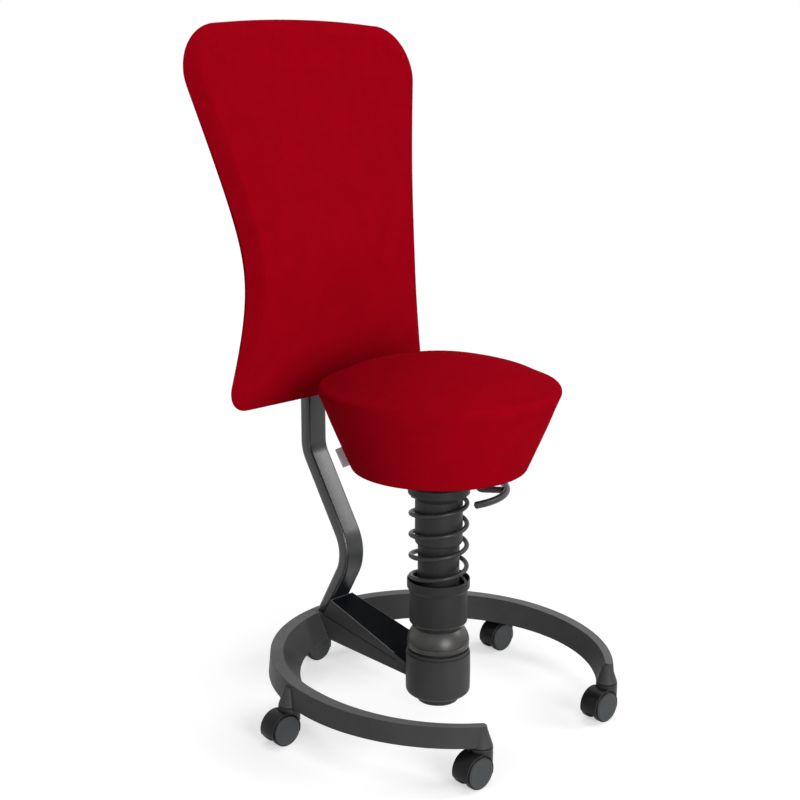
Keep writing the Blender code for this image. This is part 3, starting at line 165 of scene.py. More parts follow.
def makeCloth(name, tone):
    made, shader, wire, place = newSurface(name, Sheen_Weight=0.03, Sheen_Roughness=0.5,
                                           Sheen_Tint=(1.0, 0.03, 0.06, 1), Specular_IOR_Level=0.006)
    cloud = noise(place, tone["cloudScale"], 4.0)
    nap = noise(place, tone["napScale"], 3.0)
    fibre = noise(place, tone["fibreScale"], 2.0)
    turned = place.node("ShaderNodeMapping", None, {"Vector": place, "Rotation": (0.6, 0.4, 0.785)})
    thread = wave(place, "X", tone["threadScale"], 1.2, 3.0)
    weft = wave(turned, "Z", tone["threadScale"], 1.2, 3.0)
    mottled = wire.mix((cloud * 0.6 + nap * 0.4).span(0.34, 0.66), tone["shade"], tone["light"])
    pile = (fibre * 0.7 + thread * 0.15 + weft * 0.15).span(0.45, 0.85) * 0.30
    feed(shader, wire.mix(pile, mottled, tone["nap"]), "Base Color")
    feed(shader, 0.82 + fibre * 0.16, "Roughness")
    addBump(shader, fibre * 0.6 + thread * 0.2 + weft * 0.2 + nap * 0.3, 0.16, 0.0005)
    return made


def makeCoat(name, colour, rough, gloss, grain=1500.0, relief=0.10, veil=0.0):
    made, shader, wire, place = newSurface(name, Specular_IOR_Level=gloss, Coat_Weight=veil, Coat_IOR=1.25,
                                           Coat_Roughness=0.32)
    peel = noise(place, grain, 2.0)
    cloud = noise(place, 11.0, 4.0)
    dark = tuple(v * 0.88 for v in colour) + (1,)
    light = tuple(v * 1.12 for v in colour) + (1,)
    feed(shader, wire.mix((cloud * 0.7 + peel * 0.3).span(0.36, 0.64), dark, light), "Base Color")
    feed(shader, rough - 0.05 + peel * 0.06 + cloud * 0.04, "Roughness")
    addBump(shader, peel + cloud * 0.2, relief, 0.0003)
    return made


def makeSteel(name, colour, rough):
    made, shader, wire, place = newSurface(name, Metallic=1.0)
    stretched = place.node("ShaderNodeMapping", None, {"Vector": place, "Scale": (40.0, 40.0, 1500.0)})
    lines = noise(stretched, 1.0, 2.0)
    dull = noise(place, 35.0, 3.0)
    dark = tuple(v * 0.85 for v in colour) + (1,)
    feed(shader, wire.mix(dull.span(0.35, 0.65), dark, colour + (1,)), "Base Color")
    feed(shader, rough - 0.06 + lines * 0.08 + dull * 0.06, "Roughness")
    addBump(shader, lines, 0.06, 0.0002)
    return made


def makeBoard(name):
    made, shader, wire, place = newSurface(name, Specular_IOR_Level=0.3)
    grainLine = place.node("ShaderNodeMapping", None, {"Vector": place, "Scale": (220.0, 220.0, 9.0)})
    grain = noise(grainLine, 1.0, 5.0, 0.65)
    ply = wave(place, "Z", 190.0, 0.6)
    tan = wire.mix(grain.span(0.3, 0.7), (0.22, 0.13, 0.065, 1), (0.42, 0.28, 0.15, 1))
    feed(shader, wire.mix(ply.span(0.4, 0.6) * 0.25, tan, (0.13, 0.075, 0.04, 1)), "Base Color")
    feed(shader, 0.6 + grain * 0.2, "Roughness")
    addBump(shader, grain, 0.2, 0.0004)
    return made


def makeTag(name):
    made, shader, wire, place = newSurface(name, Sheen_Weight=0.1, Specular_IOR_Level=0.2)
    rib = wave(place, "Z", 420.0, 0.3)
    fluff = noise(place, 900.0, 2.0)
    woven = (rib * 0.6 + fluff * 0.4).span(0.2, 0.8)
    feed(shader, wire.mix(woven, (0.66, 0.67, 0.68, 1), (0.80, 0.81, 0.82, 1)), "Base Color")
    feed(shader, 0.7 + fluff * 0.2, "Roughness")
    addBump(shader, rib, 0.3, 0.0003)
    return made


redCloth = makeCloth("red_cloth", clothSet)
redThread = makeCoat("red_thread", (0.22, 0.002, 0.008), 0.7, 0.2, 2500.0, 0.4)
ringCoat = makeCoat("ring_coat", (0.056, 0.056, 0.0565), 0.50, 0.16)
# Lighter coat for the ring's upper face: painted sheen standing in for light grazing the top
topSheenCoat = makeCoat("ring_top_painted_sheen", (0.155, 0.155, 0.156), 0.50, 0.12)
# Pale coat for thin beads along edges: painted highlights
highlightCoat = makeCoat("painted_highlight", (0.170, 0.172, 0.175), 0.40, 0.30)
mastCoat = makeCoat("mast_coat", (0.0100, 0.0112, 0.0134), 0.34, 0.60, veil=0.25)
columnCoat = makeCoat("column_coat", (0.027, 0.027, 0.027), 0.45, 0.17)
cupGloss = makeCoat("cup_gloss", (0.028, 0.028, 0.028), 0.12, 1.0, 1500.0, 0.02)
footCoat = makeCoat("foot_coat", (0.046, 0.046, 0.046), 0.52, 0.16)
springCoat = makeCoat("spring_coat", (0.028, 0.028, 0.028), 0.36, 0.30, 900.0, 0.06)
panelCoat = makeCoat("panel_coat", (0.0070, 0.0088, 0.0112), 0.42, 0.008, 2200.0, 0.05)
collarRubber = makeCoat("collar_rubber", (0.021, 0.020, 0.0175), 0.40, 0.58, 600.0, 0.04)
hoodPlastic = makeCoat("hood_plastic", (0.0075, 0.0075, 0.0072), 0.34, 0.16, 1900.0, 0.06)
# Paler plastic: the castor neck's own grey, also laid on the hood's rim as a painted highlight
neckAndRimHighlight = makeCoat("neck_plastic_rim_highlight", (0.030, 0.030, 0.030), 0.42, 0.20, 1900.0, 0.06)
tyrePlastic = makeCoat("tyre_plastic", (0.0085, 0.0085, 0.0088), 0.42, 0.16, 1300.0, 0.10)
capPlastic = makeCoat("cap_plastic", (0.046, 0.0505, 0.053), 0.46, 0.25, 1700.0, 0.08)
dialPlastic = makeCoat("dial_plastic", (0.026, 0.026, 0.027), 0.44, 0.20, 1700.0, 0.10)
gripPlastic = makeCoat("grip_plastic", (0.012, 0.012, 0.013), 0.40, 0.25, 1700.0, 0.10)
paleBush = makeCoat("pale_bush", (0.30, 0.30, 0.31), 0.45, 0.40, 1700.0, 0.05)
bareSteel = makeSteel("bare_steel", (0.56, 0.56, 0.57), 0.34)
blackSteel = makeSteel("black_steel", (0.10, 0.10, 0.105), 0.42)
plyBoard = makeBoard("ply_board")
tagCloth = makeTag("tag_cloth")
print("surfaces made")

# Camera, floor and light
cameraSet = {"place": (-1.69343, -1.60840, 1.08600), "aim": (0.69923, 0.67696, -0.22978), "lens": 64.79}
lens = bpy.data.cameras.new("camera")
lens.lens = cameraSet["lens"]
lens.sensor_width = 36.0
camera = bpy.data.objects.new("camera", lens)
camera.location = cameraSet["place"]
camera.rotation_euler = Vector(cameraSet["aim"]).to_track_quat("-Z", "Y").to_euler()
scene.collection.objects.link(camera)
scene.camera = camera

lampAim = Vector((0, 0, 0.45))
lampSet = {
    "fill": {"place": (-0.9, -2.9, 1.1), "size": 1.6, "power": 66.0},
    "overhead": {"place": (0.45, 0.4, 3.3), "size": 2.4, "power": 38.0},
    "kicker": {"place": (2.4, -1.6, 2.05), "size": 0.9, "power": 24.0},
    "side": {"place": (-2.6, -0.8, 2.0), "size": 0.9, "power": 4.0},
}
for name, lampValues in lampSet.items():
    light = bpy.data.lights.new(name, "AREA")
    light.shape = "DISK"
    light.size = lampValues["size"]
    light.energy = lampValues["power"]
    lamp = bpy.data.objects.new(name, light)
    lamp.location = lampValues["place"]
    lamp.rotation_euler = (lampAim - lamp.location).to_track_quat("-Z", "Y").to_euler()
    scene.collection.objects.link(lamp)

stageSet = {"ambient": 0.07, "bounce": 0.46, "white": 1.03, "matt": 0.57, "shadowFar": 0.22,
            "shadowNear": 0.88, "nearFrom": 0.02, "nearTo": 0.20, "fadeFrom": 0.5, "fadeTo": 1.3,
            "half": 9.0}


def seenDirectly(wire):
    path = wire.node("ShaderNodeLightPath").socket.node
    camera, glossy, through = (Wire(wire.tree, path.outputs[key])
                               for key in ("Is Camera Ray", "Is Glossy Ray", "Is Transmission Ray"))
    return wire.math("MAXIMUM", wire.math("MAXIMUM", camera, glossy), through)


world = bpy.data.worlds.new("studio")
world.use_nodes = True
scene.world = world
sky = Wire(world.node_tree)
skyShader = world.node_tree.nodes["Background"]
skyShader.inputs["Color"].default_value = grey(1.0)
feed(skyShader, stageSet["ambient"] + seenDirectly(sky) * (1.0 - stageSet["ambient"]), "Strength")

castorNames = ["castor_" + place for place in
               ("front_right", "side_right", "back", "side_left", "front_left")]
floorMesh = bpy.data.meshes.new("floor")
reach = stageSet["half"]
corners = [(-reach, -reach, 0), (reach, -reach, 0), (reach, reach, 0), (-reach, reach, 0)]
floorMesh.from_pydata(corners, [], [(0, 1, 2, 3)])
floorSurface = bpy.data.materials.new("floor")
floorSurface.use_nodes = True
floorTree = floorSurface.node_tree
floorTree.nodes.remove(floorTree.nodes["Principled BSDF"])
floorWire = Wire(floorTree)
floorPlace = floorWire.node("ShaderNodeTexCoord", out="Object")
distance = floorWire.node("ShaderNodeVectorMath", {"operation": "LENGTH"}, {0: floorPlace}, 1)
grain = noise(floorPlace, 260.0, 2.0)
matt = floorWire.node("ShaderNodeBsdfDiffuse", None, {"Color": floorWire.mix(grain, grey(0.88), grey(0.92))})
floorSeen = seenDirectly(floorWire)
nearest = None  # distance to the nearest castor, where the shadow is darkest
for name in castorNames:
    wheelSpot = middle(name + "_axle") * Vector((1, 1, 0))
    away = floorPlace.node("ShaderNodeVectorMath", {"operation": "DISTANCE"},
                           {0: floorPlace, 1: wheelSpot}, 1)
    nearest = away if nearest is None else nearest.math("MINIMUM", nearest, away)
extraShadow = stageSet["shadowNear"] - stageSet["shadowFar"]
darker = (1.0 - nearest.span(stageSet["nearFrom"], stageSet["nearTo"])) * extraShadow
share = (1.0 - distance.span(stageSet["fadeFrom"], stageSet["fadeTo"])) * stageSet["shadowFar"] + darker
# The open floor stays white at any share of matt
white = (stageSet["white"] - share * stageSet["matt"]) / (1.0 - share)
floorGlow = stageSet["bounce"] * (1.0 - floorSeen) + floorSeen * white
glow = floorWire.node("ShaderNodeEmission", None, {"Color": floorGlow})
pale = floorWire.node("ShaderNodeMixShader", None, {0: share, 1: glow, 2: matt})
floorTree.links.new(pale.socket, floorTree.nodes["Material Output"].inputs["Surface"])
floorMesh.materials.append(floorSurface)
floor = bpy.data.objects.new("floor", floorMesh)
scene.collection.objects.link(floor)
print("camera, lamps and floor placed")


# Mesh helpers
def loops(profileLoops, closed=True, ends=True):
    bm = bmesh.new()
    rows = [[bm.verts.new(point) for point in loop] for loop in profileLoops]
    count = len(rows[0])
    for low, high in zip(rows, rows[1:]):
        for i in range(count if closed else count - 1):
            j = (i + 1) % count
            bm.faces.new((low[i], low[j], high[j], high[i]))
    if ends:
        bm.faces.new(rows[0])
        bm.faces.new(rows[-1])
    bmesh.ops.recalc_face_normals(bm, faces=bm.faces)
    return bm


def turned(profile, sides=96):
    bm = bmesh.new()
    rings = []
    for r, z in profile:
        if r < 1e-7:
            rings.append([bm.verts.new((0, 0, z))])
        else:
            turns = [math.tau * k / sides for k in range(sides)]
            rings.append([bm.verts.new((r * math.cos(a), r * math.sin(a), z)) for a in turns])
    for a, b in zip(rings, rings[1:] + rings[:1]):
        for k in range(sides):
            m = (k + 1) % sides
            if len(a) > 1 and len(b) > 1:
                bm.faces.new((a[k], a[m], b[m], b[k]))
            elif len(a) > 1:
                bm.faces.new((a[k], a[m], b[0]))
            elif len(b) > 1:
                bm.faces.new((a[0], b[m], b[k]))
    bmesh.ops.recalc_face_normals(bm, faces=bm.faces)
    return bm


# Corners of a closed profile rounded, each given as (across, along, radius),
# with a holding point on both sides
def eased(corners, steps=4, hold=0.0004):
    points = [Vector(c[:2]) for c in corners]
    out = []
    for i, corner in enumerate(corners):
        here, before, after = points[i], points[i - 1], points[(i + 1) % len(points)]
        radius = corner[2] if len(corner) > 2 else 0.0
        back, ahead = before - here, after - here
        room = min(back.length, ahead.length) * 0.49
        if radius <= 0.0 or room < 1e-6:
            out.append(tuple(here))
            continue
        half = back.angle(ahead) / 2
        if half > math.pi / 2 - 0.01:
            out.append(tuple(here))
            continue
        run = min(radius / math.tan(half), room * 0.9)
        radius = run * math.tan(half)
        back.normalize()
        ahead.normalize()
        centre = here + (back + ahead).normalized() * (radius / math.sin(half))
        start, end = here + back * run - centre, here + ahead * run - centre
        holding = min(hold, room - run)
        out.append(tuple(here + back * (run + holding)))
        turn = start.angle_signed(end)
        for k in range(steps + 1):
            a = -turn * k / steps
            out.append((centre.x + start.x * math.cos(a) - start.y * math.sin(a),
                        centre.y + start.x * math.sin(a) + start.y * math.cos(a)))
        out.append(tuple(here + ahead * (run + holding)))
    return out


def moved(bm, offset):
    bmesh.ops.translate(bm, vec=offset, verts=bm.verts)
    return bm


def swung(bm, angle, axis="Z"):
    bmesh.ops.rotate(bm, cent=(0, 0, 0), matrix=Matrix.Rotation(angle, 3, axis), verts=bm.verts)
    return bm


def block(size, place=(0, 0, 0)):
    bm = bmesh.new()
    bmesh.ops.create_cube(bm, size=1.0)
    bmesh.ops.scale(bm, vec=size, verts=bm.verts)
    return moved(bm, place)


def joined(parts):
    whole = bmesh.new()
    for bm in parts:
        part = bpy.data.meshes.new("part")
        bm.to_mesh(part)
        bm.free()
        whole.from_mesh(part)
        bpy.data.meshes.remove(part)
    return whole


def asObject(bm, name):
    mesh = bpy.data.meshes.new(name)
    bm.to_mesh(mesh)
    bm.free()
    made = bpy.data.objects.new(name, mesh)
    scene.collection.objects.link(made)
    return made


def evaluatedMesh(thing):
    graph = bpy.context.evaluated_depsgraph_get()
    return bpy.data.meshes.new_from_object(thing.evaluated_get(graph))


# Boolean steps worked out on the spot
def carved(bm, cuts):
    piece = asObject(bm, "carving")
    helpers = []
    for number, (cutter, operation) in enumerate(cuts):
        helper = asObject(cutter, "cutter%d" % number)
        step = piece.modifiers.new("cut%d" % number, "BOOLEAN")
        step.operation = operation
        step.solver = "EXACT"
        step.object = helper
        helpers.append(helper)
    mesh = evaluatedMesh(piece)
    for helper in helpers + [piece]:
        bpy.data.objects.remove(helper)
    out = bmesh.new()
    out.from_mesh(mesh)
    bpy.data.meshes.remove(mesh)
    bmesh.ops.remove_doubles(out, verts=out.verts, dist=0.000002)
    return out


def handOver(made, body, replaced):
    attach(made, body)
    if replaced:
        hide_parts(*replaced)
    return made


def finishPiece(made, surfaces, body, replaced, sharp=32.0):
    made.data.shade_smooth()
    made.data.set_sharp_from_angle(angle=math.radians(sharp))
    for surface in surfaces:
        made.data.materials.append(surface)
    return handOver(made, body, replaced)


def addPiece(name, bm, surfaces, body, replaced, sharp=32.0):
    surfaces = surfaces if isinstance(surfaces, (list, tuple)) else [surfaces]
    return finishPiece(asObject(bm, name), surfaces, body, replaced, sharp)


# A piece turned about the column's axis
def addTurned(name, profile, sides, surfaces, body, node):
    return addPiece(name, moved(turned(profile, sides), home), surfaces, body, [node])


def addBevel(piece, width, segments=3, angle=28.0):
    step = piece.modifiers.new("bevel", "BEVEL")
    step.width = width
    step.segments = segments
    step.limit_method = "ANGLE"
    step.angle_limit = math.radians(angle)
    step.harden_normals = True
    step.use_clamp_overlap = True
    return piece


# A copy of a flat-sided CAD node with its edges eased
def easedCopy(node, name, surface, body, width):
    bm = bmesh.new()
    bm.from_mesh(nodes[node].data)
    bmesh.ops.remove_doubles(bm, verts=bm.verts, dist=0.000005)
    bmesh.ops.dissolve_limit(bm, angle_limit=math.radians(0.6), verts=bm.verts, edges=bm.edges)
    piece = addPiece(name, bm, surface, body, [node], 20.0)
    return addBevel(piece, width)


def sweep(path, section, across):
    across = Vector(across).normalized()
    path = [Vector(point) for point in path]
    rows = []
    for i, point in enumerate(path):
        ahead = (path[min(i + 1, len(path) - 1)] - path[max(i - 1, 0)]).normalized()
        inward = ahead.cross(across)
        outline = section(point.z) if callable(section) else section
        rows.append([point + across * a + inward * b for a, b in outline])
    return loops(rows)


def roundBar(width, depth, corner, steps):
    points = []
    flatX, flatY = width / 2 - corner, depth / 2 - corner
    for quarter, (sx, sy) in enumerate(((1, 1), (-1, 1), (-1, -1), (1, -1))):
        for i in range(steps + 1):
            a = math.pi / 2 * (quarter + i / steps)
            points.append((sx * flatX + corner * math.cos(a), sy * flatY + corner * math.sin(a)))
    return points


def ringOf(radius, sides):
    turns = [math.tau * i / sides for i in range(sides)]
    return [(radius * math.cos(a), radius * math.sin(a)) for a in turns]


def beadLine(start, end, radius, across):
    return sweep([start + (end - start) * i / 12 for i in range(13)], ringOf(radius, 10), across)


def bentPath(points, radii, steps):
    points = [Vector(point) for point in points]
    path = [points[0]]
    for before, corner, after, radius in zip(points, points[1:], points[2:], radii):
        back, ahead = (before - corner).normalized(), (after - corner).normalized()
        half = back.angle(ahead) / 2
        run = radius / math.tan(half)
        centre = corner + (back + ahead).normalized() * radius / math.sin(half)
        start, end = corner + back * run - centre, corner + ahead * run - centre
        for i in range(steps + 1):
            turn = Matrix.Rotation(start.angle(end) * i / steps, 3, start.cross(end))
            path.append(centre + turn @ start)
    path.append(points[-1])
    return path


# Geometry node helpers
def newTree(name, inputs):
    tree = bpy.data.node_groups.new(name, "GeometryNodeTree")
    tree.interface.new_socket("Geometry", in_out="INPUT", socket_type="NodeSocketGeometry")
    for label, value in inputs.items():
        kind = "NodeSocketInt" if isinstance(value, int) else "NodeSocketFloat"
        tree.interface.new_socket(label, in_out="INPUT", socket_type=kind).default_value = value
    tree.interface.new_socket("Geometry", in_out="OUTPUT", socket_type="NodeSocketGeometry")
    start = Wire(tree).node("NodeGroupInput").socket.node
    wires = {socket.name: Wire(tree, socket) for socket in start.outputs if socket.name}
    return tree, wires


def endTree(geometry, surface):
    whole = geometry.node("GeometryNodeRealizeInstances", None, {0: geometry})
    smooth = geometry.node("GeometryNodeSetShadeSmooth", None, {0: whole})
    dressed = geometry.node("GeometryNodeSetMaterial", None, {0: smooth, "Material": surface})
    geometry.node("NodeGroupOutput", None, {0: dressed})


def grown(tree, values, base):
    holder = bpy.data.objects.new(tree.name, base)
    scene.collection.objects.link(holder)
    step = holder.modifiers.new("grow", "NODES")
    step.node_group = tree
    for item in tree.interface.items_tree:
        if item.item_type == "SOCKET" and item.in_out == "INPUT" and item.name in values:
            step[item.identifier] = values[item.name]
    mesh = evaluatedMesh(holder)
    holder.modifiers.clear()
    bpy.data.objects.remove(holder)
    return mesh


def fromTree(name, tree, values, base, body, replaced, offset=(0, 0, 0)):
    mesh = grown(tree, values, base)
    mesh.transform(Matrix.Translation(offset))
    made = bpy.data.objects.new(name, mesh)
    scene.collection.objects.link(made)
    return handOver(made, body, replaced)


# Base ring
ringSet = {"halfWidth": 0.283, "ratio": 0.3011 / 0.283, "centreY": -0.005, "band": 0.0135,
           "bandMore": 0.0085, "bandLess": 0.001, "bandTurn": 0.55, "paintedSheenUp": 0.8, "tipFall": 0.0030,
           "outerFlare": 0.0035, "frontFlare": 0.0105, "backFlare": 0.0415, "end": math.radians(36.2),
           "height": 0.0373, "steps": 200, "capSteps": 16, "edge": 0.0008, "hold": 0.0006,
           "bossDrop": 0.0006, "bossRadius": 0.018, "bossTip": 0.0078, "bossBelowTop": 0.007,
           "seamTurn": math.radians(174.2), "seamWidth": 0.0016, "seamDepth": 0.0014, "seamLong": 0.04}
ringLow = ringTop - ringSet["height"]
bossLow = ringLow - ringSet["bossDrop"]


def ringPoint(turn, across, z):
    y = -across * ringSet["ratio"] * math.cos(turn) + ringSet["centreY"]
    return Vector((-across * math.sin(turn), y, z))


# The band widens and rises from the tips to the back
def ringFull(turn):
    t = min((1 - math.cos(turn)) / 2 / ringSet["bandTurn"], 1.0)
    return t * t * (3 - 2 * t)


def ringBand(turn):
    return ringSet["band"] - ringSet["bandLess"] + ringSet["bandMore"] * ringFull(turn)


def ringLoop(shrink, z):
    drop = (ringTop - z) / ringSet["height"]
    span = math.tau - 2 * ringSet["end"]
    outer, inner = [], []
    for i in range(ringSet["steps"] + 1):
        turn = ringSet["end"] + span * i / ringSet["steps"]
        backShare = (1 - math.cos(turn)) / 2
        flare = ringSet["frontFlare"] + (ringSet["backFlare"] - ringSet["frontFlare"]) * backShare
        fallen = z - ringSet["tipFall"] * math.sqrt(1 - ringFull(turn)) * (1 - drop)
        outer.append(ringPoint(turn, ringSet["halfWidth"] + ringSet["outerFlare"] * drop - shrink, fallen))
        within = ringBand(turn) * (1 - drop) + (ringSet["band"] + flare) * drop
        inner.append(ringPoint(turn, ringSet["halfWidth"] - within + shrink, fallen))
    caps = []
    for near, far, following in ((outer[-1], inner[-1], outer[-2]), (inner[0], outer[0], inner[1])):
        centre = (near + far) / 2
        spoke = near - centre
        forward = near - following
        forward = (forward - spoke * forward.dot(spoke) / spoke.length_squared).normalized()
        turns = [math.pi * i / ringSet["capSteps"] for i in range(1, ringSet["capSteps"])]
        caps.append([centre + spoke * math.cos(a) + forward * spoke.length * math.sin(a) for a in turns])
    return outer, inner, caps


def ringBody():
    edge = ringSet["edge"]
    hold = edge + ringSet["hold"]
    quarter = [math.pi / 2 * i / 4 for i in range(5)]
    levels = [(ringLow, hold)]
    levels += [(ringLow + edge * (1 - math.cos(a)), edge * (1 - math.sin(a))) for a in quarter]
    levels += [(ringLow + hold, 0.0), (ringTop - hold, 0.0)]
    levels += [(ringTop - edge * (1 - math.sin(a)), edge * (1 - math.cos(a))) for a in quarter]
    levels += [(ringTop, hold)]
    bm = bmesh.new()
    rows = []
    for number, (z, shrink) in enumerate(levels):
        outer, inner, caps = ringLoop(shrink, z)
        outer, inner = ([bm.verts.new(p) for p in side] for side in (outer, inner))
        caps = [[bm.verts.new(p) for p in arc] for arc in caps]
        if number in (0, len(levels) - 1):
            for i in range(ringSet["steps"]):
                bm.faces.new((outer[i], outer[i + 1], inner[i + 1], inner[i]))
            bm.faces.new([outer[-1]] + caps[0] + [inner[-1]])
            bm.faces.new([inner[0]] + caps[1] + [outer[0]])
        rows.append(outer + caps[0] + inner[::-1] + caps[1])
    count = len(rows[0])
    for low, high in zip(rows, rows[1:]):
        for i in range(count):
            j = (i + 1) % count
            bm.faces.new((low[i], low[j], high[j], high[i]))
    bmesh.ops.recalc_face_normals(bm, faces=bm.faces)
    return bm


castorPlaces = {name: middle(name + "_stem") * Vector((1, 1, 0)) for name in castorNames}
bossHigh = ringTop - ringSet["bossBelowTop"]
bossProfile = eased([(0, bossLow), (ringSet["bossRadius"], bossLow, 0.0008),
                     (ringSet["bossTip"], bossHigh, 0.002), (0, bossHigh)])
bosses = joined([moved(turned(bossProfile, 64), place - home) for place in castorPlaces.values()])


def seamBlade(turn):
    blade = block((ringSet["seamLong"], ringSet["seamWidth"], ringSet["seamDepth"] * 2))
    spot = ringPoint(turn, ringSet["halfWidth"] - ringSet["band"] / 2, ringTop)
    return moved(swung(blade, math.atan2(spot.y, spot.x)), spot)


seamTurns = (ringSet["seamTurn"], math.tau - ringSet["seamTurn"])
ringMesh = carved(ringBody(), [(bosses, "UNION")] + [(seamBlade(turn), "DIFFERENCE") for turn in seamTurns])
ringMesh.normal_update()
for face in ringMesh.faces:  # the upper face gets a lighter coat: painted sheen where light grazes the top
    onTop = face.calc_center_median().z > ringTop - ringSet["tipFall"] - ringSet["edge"]
    face.material_index = 1 if onTop and face.normal.z > ringSet["paintedSheenUp"] else 0
addPiece("ring", moved(ringMesh, home), [ringCoat, topSheenCoat], "base", ["base_ring"])
print("ring made")

# Arm, bracket, panel and mast
armSet = {"halfWidth": 0.041, "topHalf": 0.028, "pivotDrop": 0.0185, "creaseDrop": 0.0072,
          "footDepth": 0.0160, "sink": 0.0005, "tail": 0.004, "bracketInset": 0.0237, "edge": 0.0012,
          "bracketEdge": 0.0007, "footRise": -0.0005, "mastRise": 0.0355, "ridgeHalf": 0.0255,
          "panelThick": 0.0012, "panelShort": 0.004, "footClear": 0.0566, "footTall": 0.3,
          "mastTouch": 0.0004, "bead": 0.0017, "jointTop": 0.0006, "jointShort": 0.0014, "jointSide": 0.0007,
          "jointFront": 0.0009, "lineBead": 0.0008, "lineFrom": 0.14, "lineShort": 0.003, "backShort": 0.006,
          "lift": 0.0006, "creaseShadeBead": 0.0006, "creaseShadeFrom": 0.12}
mastSet = {"width": 0.037, "depth": 0.022, "corner": 0.006, "inset": 0.0106, "kneeForward": 0.0696,
           "kneeRise": 0.1235, "shoulderBack": 0.0384, "shoulderRise": 0.3014, "kneeRadius": 0.075,
           "shoulderRadius": 0.06, "edge": 0.0012, "fullWidth": 0.0460, "fullDepth": 0.0230,
           "fullCorner": 0.0065, "swageLow": 0.515, "swageHigh": 0.548}
pivotZ = highZ("foot_housing") - armSet["pivotDrop"]
ringBackY = ringPoint(math.pi, ringSet["halfWidth"] - ringSet["band"], 0).y
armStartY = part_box("base_arm")[0].y - home.y
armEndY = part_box("base_arm")[1].y - home.y + armSet["tail"]
bracketBackY = ringBackY - armSet["bracketInset"]
creaseBackZ = ringTop - armSet["sink"]
creaseFrontZ = pivotZ - armSet["creaseDrop"]
soleBackY = ringPoint(math.pi, ringSet["halfWidth"] - ringSet["band"] - ringSet["backFlare"], 0).y


def between(y, y0, v0, y1, v1):
    return v0 + (v1 - v0) * (y - y0) / (y1 - y0)


def armSection(y, top):
    sole = between(y, armStartY, creaseFrontZ - armSet["footDepth"], soleBackY, ringLow)
    topHalf = between(y, armStartY, armSet["halfWidth"], armEndY, armSet["topHalf"])
    half = armSet["halfWidth"]
    return [(-half, y, sole), (half, y, sole), (topHalf, y, top), (-topHalf, y, top)]


armMesh = loops([armSection(armStartY, creaseFrontZ), armSection(bracketBackY, creaseBackZ),
                 armSection(armEndY, creaseBackZ)])
addBevel(addPiece("arm", moved(armMesh, home), ringCoat, "base", ["base_arm"]), armSet["edge"])

mastFoot = Vector((0, ringBackY - mastSet["inset"], ringTop))
mastKnee = mastFoot + Vector((0, -mastSet["kneeForward"], mastSet["kneeRise"]))
mastShoulder = mastFoot + Vector((0, mastSet["shoulderBack"], mastSet["shoulderRise"]))
mastTop = Vector((0, mastShoulder.y, highZ("mast")))
mastLine = (mastKnee - mastFoot).normalized()
mastPath = bentPath([mastFoot - mastLine * mastSet["depth"], mastKnee, mastShoulder, mastTop],
                    (mastSet["kneeRadius"], mastSet["shoulderRadius"]), 28)
straight = [mastPath[-2] + (mastTop - mastPath[-2]) * i / 40 for i in range(1, 41)]
mastPath = mastPath[:-1] + straight


# The tube is drawn a little slimmer where the clamp slides on it
def mastSection(z):
    slim = min(max((z - mastSet["swageLow"]) / (mastSet["swageHigh"] - mastSet["swageLow"]), 0.0), 1.0)
    sizes = (("fullWidth", "width"), ("fullDepth", "depth"), ("fullCorner", "corner"))
    width, depth, corner = (mastSet[full] + (mastSet[slender] - mastSet[full]) * slim
                            for full, slender in sizes)
    return roundBar(width, depth, corner, 8)


mastBar = sweep(mastPath, mastSection, (1, 0, 0))
bmesh.ops.bisect_plane(mastBar, geom=mastBar.verts[:] + mastBar.edges[:] + mastBar.faces[:],
                       plane_co=(0, 0, ringTop + play), plane_no=(0, 0, 1), clear_inner=True)
bmesh.ops.holes_fill(mastBar, edges=[e for e in mastBar.edges if e.is_boundary], sides=0)
bmesh.ops.recalc_face_normals(mastBar, faces=mastBar.faces)
mast = addPiece("mast_bar", moved(mastBar, home), mastCoat, "base", ["mast"])
addBevel(mast, mastSet["edge"], 3, 60.0)

# The bracket leans against the mast's front, and the panel lies on it from ridge to ridge
mastSlope = mastSet["kneeForward"] / mastSet["kneeRise"]
mastReach = mastSet["fullDepth"] / 2 * math.hypot(1.0, mastSlope) - armSet["mastTouch"]
ridgeZ, bracketTop = pivotZ + armSet["footRise"], ringTop + armSet["mastRise"]
ridgeEnd = (mastFoot.y - mastReach - armStartY - mastSlope * (ridgeZ - ringTop)) \
    / (bracketBackY - armStartY + mastSlope * (bracketTop - ridgeZ))


def ridgePoint(share, side, rise):
    half = armSet["halfWidth"] + (armSet["ridgeHalf"] - armSet["halfWidth"]) * share
    y = armStartY + (bracketBackY - armStartY) * share
    return Vector((side * half, y, ridgeZ + (bracketTop - ridgeZ) * share + rise))


def panelRow(share):
    thick = armSet["panelThick"]
    return [ridgePoint(share, side, rise) for side, rise in ((-1, 0), (1, 0), (1, thick), (-1, thick))]


creaseEndY = mastFoot.y - mastReach
creaseHalf = between(creaseEndY, armStartY, armSet["halfWidth"], armEndY, armSet["topHalf"])
armHalf = armSet["halfWidth"]
bracketRows = [[(-armHalf, armStartY, creaseFrontZ), (armHalf, armStartY, creaseFrontZ),
                ridgePoint(0, 1, 0), ridgePoint(0, -1, 0)],
               [(-creaseHalf, creaseEndY, creaseBackZ), (creaseHalf, creaseEndY, creaseBackZ),
                ridgePoint(ridgeEnd, 1, 0), ridgePoint(ridgeEnd, -1, 0)]]
footRoom = turned([(0, 0), (armSet["footClear"], 0), (armSet["footClear"], armSet["footTall"]),
                   (0, armSet["footTall"])], 96)
bracketMesh = carved(loops(bracketRows), [(footRoom.copy(), "DIFFERENCE")])
bracket = addPiece("bracket", moved(bracketMesh, home), ringCoat, "base", ["arm_bracket"])
addBevel(bracket, armSet["bracketEdge"])
